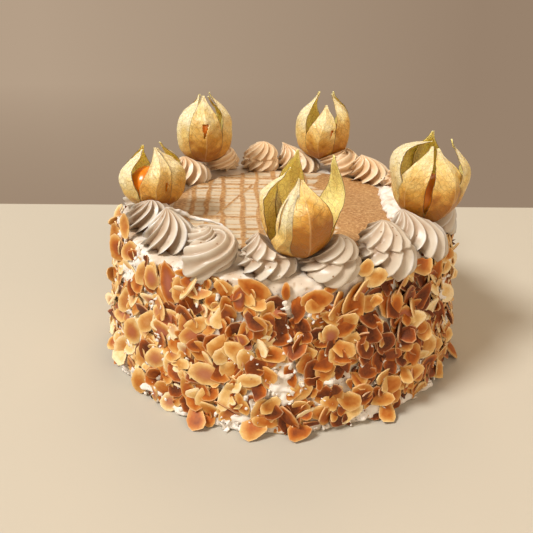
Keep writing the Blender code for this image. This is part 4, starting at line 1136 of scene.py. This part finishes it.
def woundRope(index):
    # a star-shaped rope of cream laid in a closing spiral: it climbs, thins and ends in a curl
    start, turns, outward, wide, swirl, torn = ropeForms[index]
    columns = rope["ridges"] * rope["columnsPerRidge"]
    share = np.linspace(0.0, 1.0, rope["rows"])[:, None]
    around = np.linspace(0.0, 1.0, columns, endpoint=False)[None, :]
    bearing = math.radians(start) + 2.0 * math.pi * turns * share
    path = wide * rope["path"] * (1.0 - share ** 1.7)
    ends = smoothStep(-0.02, 0.07, share) ** 0.5 * (1.0 - smoothStep(0.9, 1.0, share)) ** 0.6
    section = wide * (rope["section"] + (rope["tip"] - rope["section"]) * share) * ends
    hollow = ridgeHollow((around * rope["ridges"] + 0.0 * share) % 1.0, 0.25)
    size = section * (1.0 - rope["depth"] * hollow)
    roll = 2.0 * math.pi * (around + swirl * share)
    # the lower half of the section stands upright on its outside, so that its foot is full
    full = np.where(np.sin(roll) < 0.0, np.sign(np.cos(roll)) * np.abs(np.cos(roll)) ** 0.45, np.cos(roll))
    out = path + size * full
    up = 0.7 * rope["section"] + rope["climb"] * share ** 1.1 + size * np.sin(roll)
    centre = ringPlace(index, ring["radius"] + outward * mm)
    points = np.stack([centre[0] + out * np.cos(bearing), centre[1] + out * np.sin(bearing), up], axis=-1)
    noise = 0.15 * cloud(points, 5.0 * mm, 200 + index) + 0.06 * cloud(points, 1.4 * mm, 300 + index)
    crest = (1.0 - hollow) ** 2
    noise = noise + torn * (
        0.35 * cloud(points, 3.4 * mm, 400 + index) + 0.3 * crest * cloud(points, 1.3 * mm, 500 + index))
    points += (noise * mm)[..., None]
    # darker in the hollows: painted shade
    valley = 0.75 * hollow + 0.0 * share
    return points, valley


def husksBeside(index):  # those less than one step of the ring away
    half = 0.5 * ring["count"]
    return [form for form in huskForms if abs((form["gap"] - index + half) % ring["count"] - half) < 1.0]


def makeRosette(index, draw):
    # a drop or a rope of cream set on the top, pressed back by the husks beside it
    points, valley = woundRope(index) if index in ropeForms else pulledDrop(index, draw)
    rows, columns = valley.shape
    points[..., 2] = torte["height"] + 0.1 * mm + np.maximum(points[..., 2], 0.0)
    # toes beyond the rim hang down a little
    low = points[..., 2] - torte["height"]
    beyond = np.hypot(points[..., 0], points[..., 1]) - torte["rimRadius"] - 0.4 * mm
    points[..., 2] -= 1.0 * np.clip(beyond, 0.0, 4.5 * mm) * smoothStep(7.0 * mm, 0.5 * mm, low)
    ends = points[[0, -1]].mean(axis=1)
    points = points.reshape(-1, 3)
    for form in husksBeside(index):
        points = huskDent(points, form)
    return addPiece(
        "pipedRosette_%02d" % (index + 1), np.vstack([points, ends]), tubeFaces(rows, columns),
        bounceLitCream if index in bounceLit else pipedCream,
        "rosette_%02d" % (index + 1), {"valley": np.append(np.clip(valley, 0.0, 1.0), [0.5, 0.3])})


rosetteDraw = random.Random(rosette["seed"])
for index in range(ring["count"]):
    makeRosette(index, rosetteDraw)
print("rosettes done")


# smears: the same cream drawn out from one peak to the next rosette, and dabbed where the
# caramel ends; paler, rough and uneven; a path's points are pixels of the photo and heights in mm,
# and width is half the smear's, in mm

smear = dict(rows=90, columns=28, rounded=8, softened=11)
smears = (
    dict(name="drawnStrand", node="rosette_01", cream=pipedCream, rough=0.9, seed=3, thick=1.0,
         width=(1.3, 1.15, 1.0, 0.75, 0.6, 0.45, 0.3),
         path=((165, 207, 83.5), (178, 212, 79.8), (190, 217, 77.2), (203, 220, 77.0), (214, 222, 77.0),
               (224, 226, 76.0), (233, 232, 73.8))),
    dict(name="creamDab", node="rosette_07", cream=smearedCream, rough=2.2, seed=8, thick=0.62,
         width=(2.6, 4.2, 5.2, 4.8, 5.2, 4.6, 3.0),
         path=((384, 187, 70.0), (387, 192, 70.4), (390, 198, 70.8), (392, 204, 70.8), (395, 210, 71.0),
               (398, 217, 71.2), (401, 224, 71.4))))


def makeSmear(form):
    # a tube along a bent line, flattened, its surface pushed in and out by noise of two sizes
    rows, columns = smear["rows"], smear["columns"]
    x, y, height = np.array(form["path"], float).T
    path = photoSpots(x, y, height * mm) / mm
    knots = np.linspace(0.0, 1.0, len(path))
    share = np.linspace(0.0, 1.0, rows)
    around = np.linspace(0.0, 2.0 * math.pi, columns, endpoint=False)[None, :]
    line = np.stack([np.interp(share, knots, path[:, axis]) for axis in range(3)], axis=-1)
    width = np.interp(share, knots, form["width"])
    # the bends of the line and the width are softened, away from the ends
    soft = np.ones(smear["softened"]) / smear["softened"]
    end = smear["softened"] // 2
    for values in (line[:, 0], line[:, 1], line[:, 2], width):
        values[end:-end] = np.convolve(values, soft, mode="valid")
    width = width * np.sqrt(np.clip(1.0 - (2.0 * share - 1.0) ** smear["rounded"], 0.0, 1.0))
    width = width[:, None]
    ahead = np.gradient(line, axis=0)
    side = np.stack([ahead[:, 1], -ahead[:, 0], np.zeros(rows)], axis=-1)
    side /= np.linalg.norm(side, axis=-1, keepdims=True)
    points = line[:, None, :] + (width * np.cos(around))[..., None] * side[:, None, :]
    points[..., 2] += form["thick"] * width * np.sin(around)
    points = points * mm
    push = 0.5 * form["rough"] * mm * np.sqrt(width / width.max())
    for axis in range(3):
        seed = form["seed"] + axis
        noise = cloud(points, 2.6 * mm, seed) + 0.6 * cloud(points, 1.2 * mm, seed + 10)
        points[..., axis] += push * noise
    points[..., 2] = np.maximum(points[..., 2], torte["height"] + 0.2 * mm)
    valley = np.clip(0.15 - 0.3 * cloud(points, 2.0 * mm, form["seed"] + 30), 0.0, 1.0)
    ends = points[[0, -1]].mean(axis=1)
    return addPiece(
        form["name"], np.vstack([points.reshape(-1, 3), ends]), tubeFaces(rows, columns), form["cream"],
        form["node"], {"valley": np.append(valley, [0.1, 0.1])})


for form in smears:
    makeSmear(form)
print("smears done")


# floor, light and camera

studio = dict(
    floorColour="#bab3a5", horizon=0.184, eyeDistance=0.286, backLight="#b59f88", backDark="#98826d",
    ambient="#b5a799", ambientLevel=0.72, tableRadius=9.0, tableCorners=96, aim=(0.0, 0.0, 0.05),
    lights=(
        dict(name="keyLight", place=(-2.25, -1.3, 3.1), size=1.2, power=184.0, colour="#fffdf8"),
        dict(name="fillLight", place=(0.7, -1.1, 0.8), size=1.2, power=8.5, colour="#ffe6c8"),
        dict(name="topLight", place=(0.2, 0.9, 1.5), size=0.9, power=8.0, colour="#ffdeb4")))


def makeStudio():
    # a pale table; from the horizon line on it glows with the backdrop's taupe, painted light that is
    # lighter to the left and further back
    material, tree, shader, place = newMaterial("paleTable")
    setInputs(tree, shader, {
        "Base Color": studio["floorColour"], "Roughness": 0.8, "Specular IOR Level": 0.2})
    x = addNode(tree, "SeparateXYZ", {0: place}, "X")
    y = addNode(tree, "SeparateXYZ", {0: place}, "Y")
    far = addNode(tree, "Math", {0: y, 1: studio["horizon"]}, operation="GREATER_THAN")
    depth = addNode(tree, "Math", {0: y, 1: studio["eyeDistance"]}, operation="ADD")
    bearing = addNode(tree, "Math", {0: x, 1: depth}, operation="DIVIDE")
    leftward = addNode(tree, "MapRange", {0: bearing, 1: 0.32, 2: -0.36, 3: 0.0, 4: 1.0})
    upward = addNode(tree, "MapRange", {0: y, 1: 0.18, 2: 0.75, 3: 0.2, 4: 1.0})
    glowShare = addNode(tree, "Math", {0: leftward, 1: upward}, operation="MULTIPLY")
    taupe = addNode(
        tree, "Mix", {0: glowShare, 6: studio["backDark"], 7: studio["backLight"]}, **colourMix)
    glow = addNode(tree, "Emission", {0: taupe})
    both = addNode(tree, "MixShader", {0: far, 1: shader.outputs[0], 2: glow})
    setInputs(tree, tree.nodes["Material Output"], {"Surface": both})
    mesh = bpy.data.meshes.new("tableTop")
    turn = np.linspace(0.0, 2.0 * math.pi, studio["tableCorners"], endpoint=False)
    edge = studio["tableRadius"] * np.stack([np.cos(turn), np.sin(turn), np.zeros_like(turn)], axis=-1)
    mesh.from_pydata(edge.tolist(), [], [list(range(len(turn)))])
    mesh.materials.append(material)
    floor = bpy.data.objects.new("tableTop", mesh)
    bpy.context.scene.collection.objects.link(floor)
    world = bpy.data.worlds.new("softStudio")
    bpy.context.scene.world = world
    world.use_nodes = True
    back = world.node_tree.nodes["Background"]
    back.inputs["Color"].default_value = toLinear(studio["ambient"])
    back.inputs["Strength"].default_value = studio["ambientLevel"]
    for form in studio["lights"]:
        light = bpy.data.lights.new(form["name"], "AREA")
        light.shape = "DISK"
        light.size = form["size"]
        light.energy = form["power"]
        light.color = toLinear(form["colour"])[:3]
        lamp = bpy.data.objects.new(form["name"], light)
        lamp.location = form["place"]
        aim = Vector(studio["aim"]) - Vector(form["place"])
        lamp.rotation_euler = aim.to_track_quat("-Z", "Y").to_euler()
        bpy.context.scene.collection.objects.link(lamp)
    bpy.context.scene.view_settings.view_transform = "Standard"


def makeCamera():  # at the photo's place; a camera looks against its third axis
    camera = bpy.data.cameras.new("photoView")
    camera.lens = photo["lens"]
    camera.sensor_width = photo["sensor"]
    camera.clip_start = 0.01
    eye = bpy.data.objects.new("photoView", camera)
    right, top, forward = (Vector(axis) for axis in photoAxes())
    turned = Matrix((right, top, -forward)).transposed().to_4x4()
    eye.matrix_world = Matrix.Translation(Vector(photo["eye"]) * mm) @ turned
    bpy.context.scene.collection.objects.link(eye)
    bpy.context.scene.camera = eye


makeStudio()
makeCamera()
print("studio done")
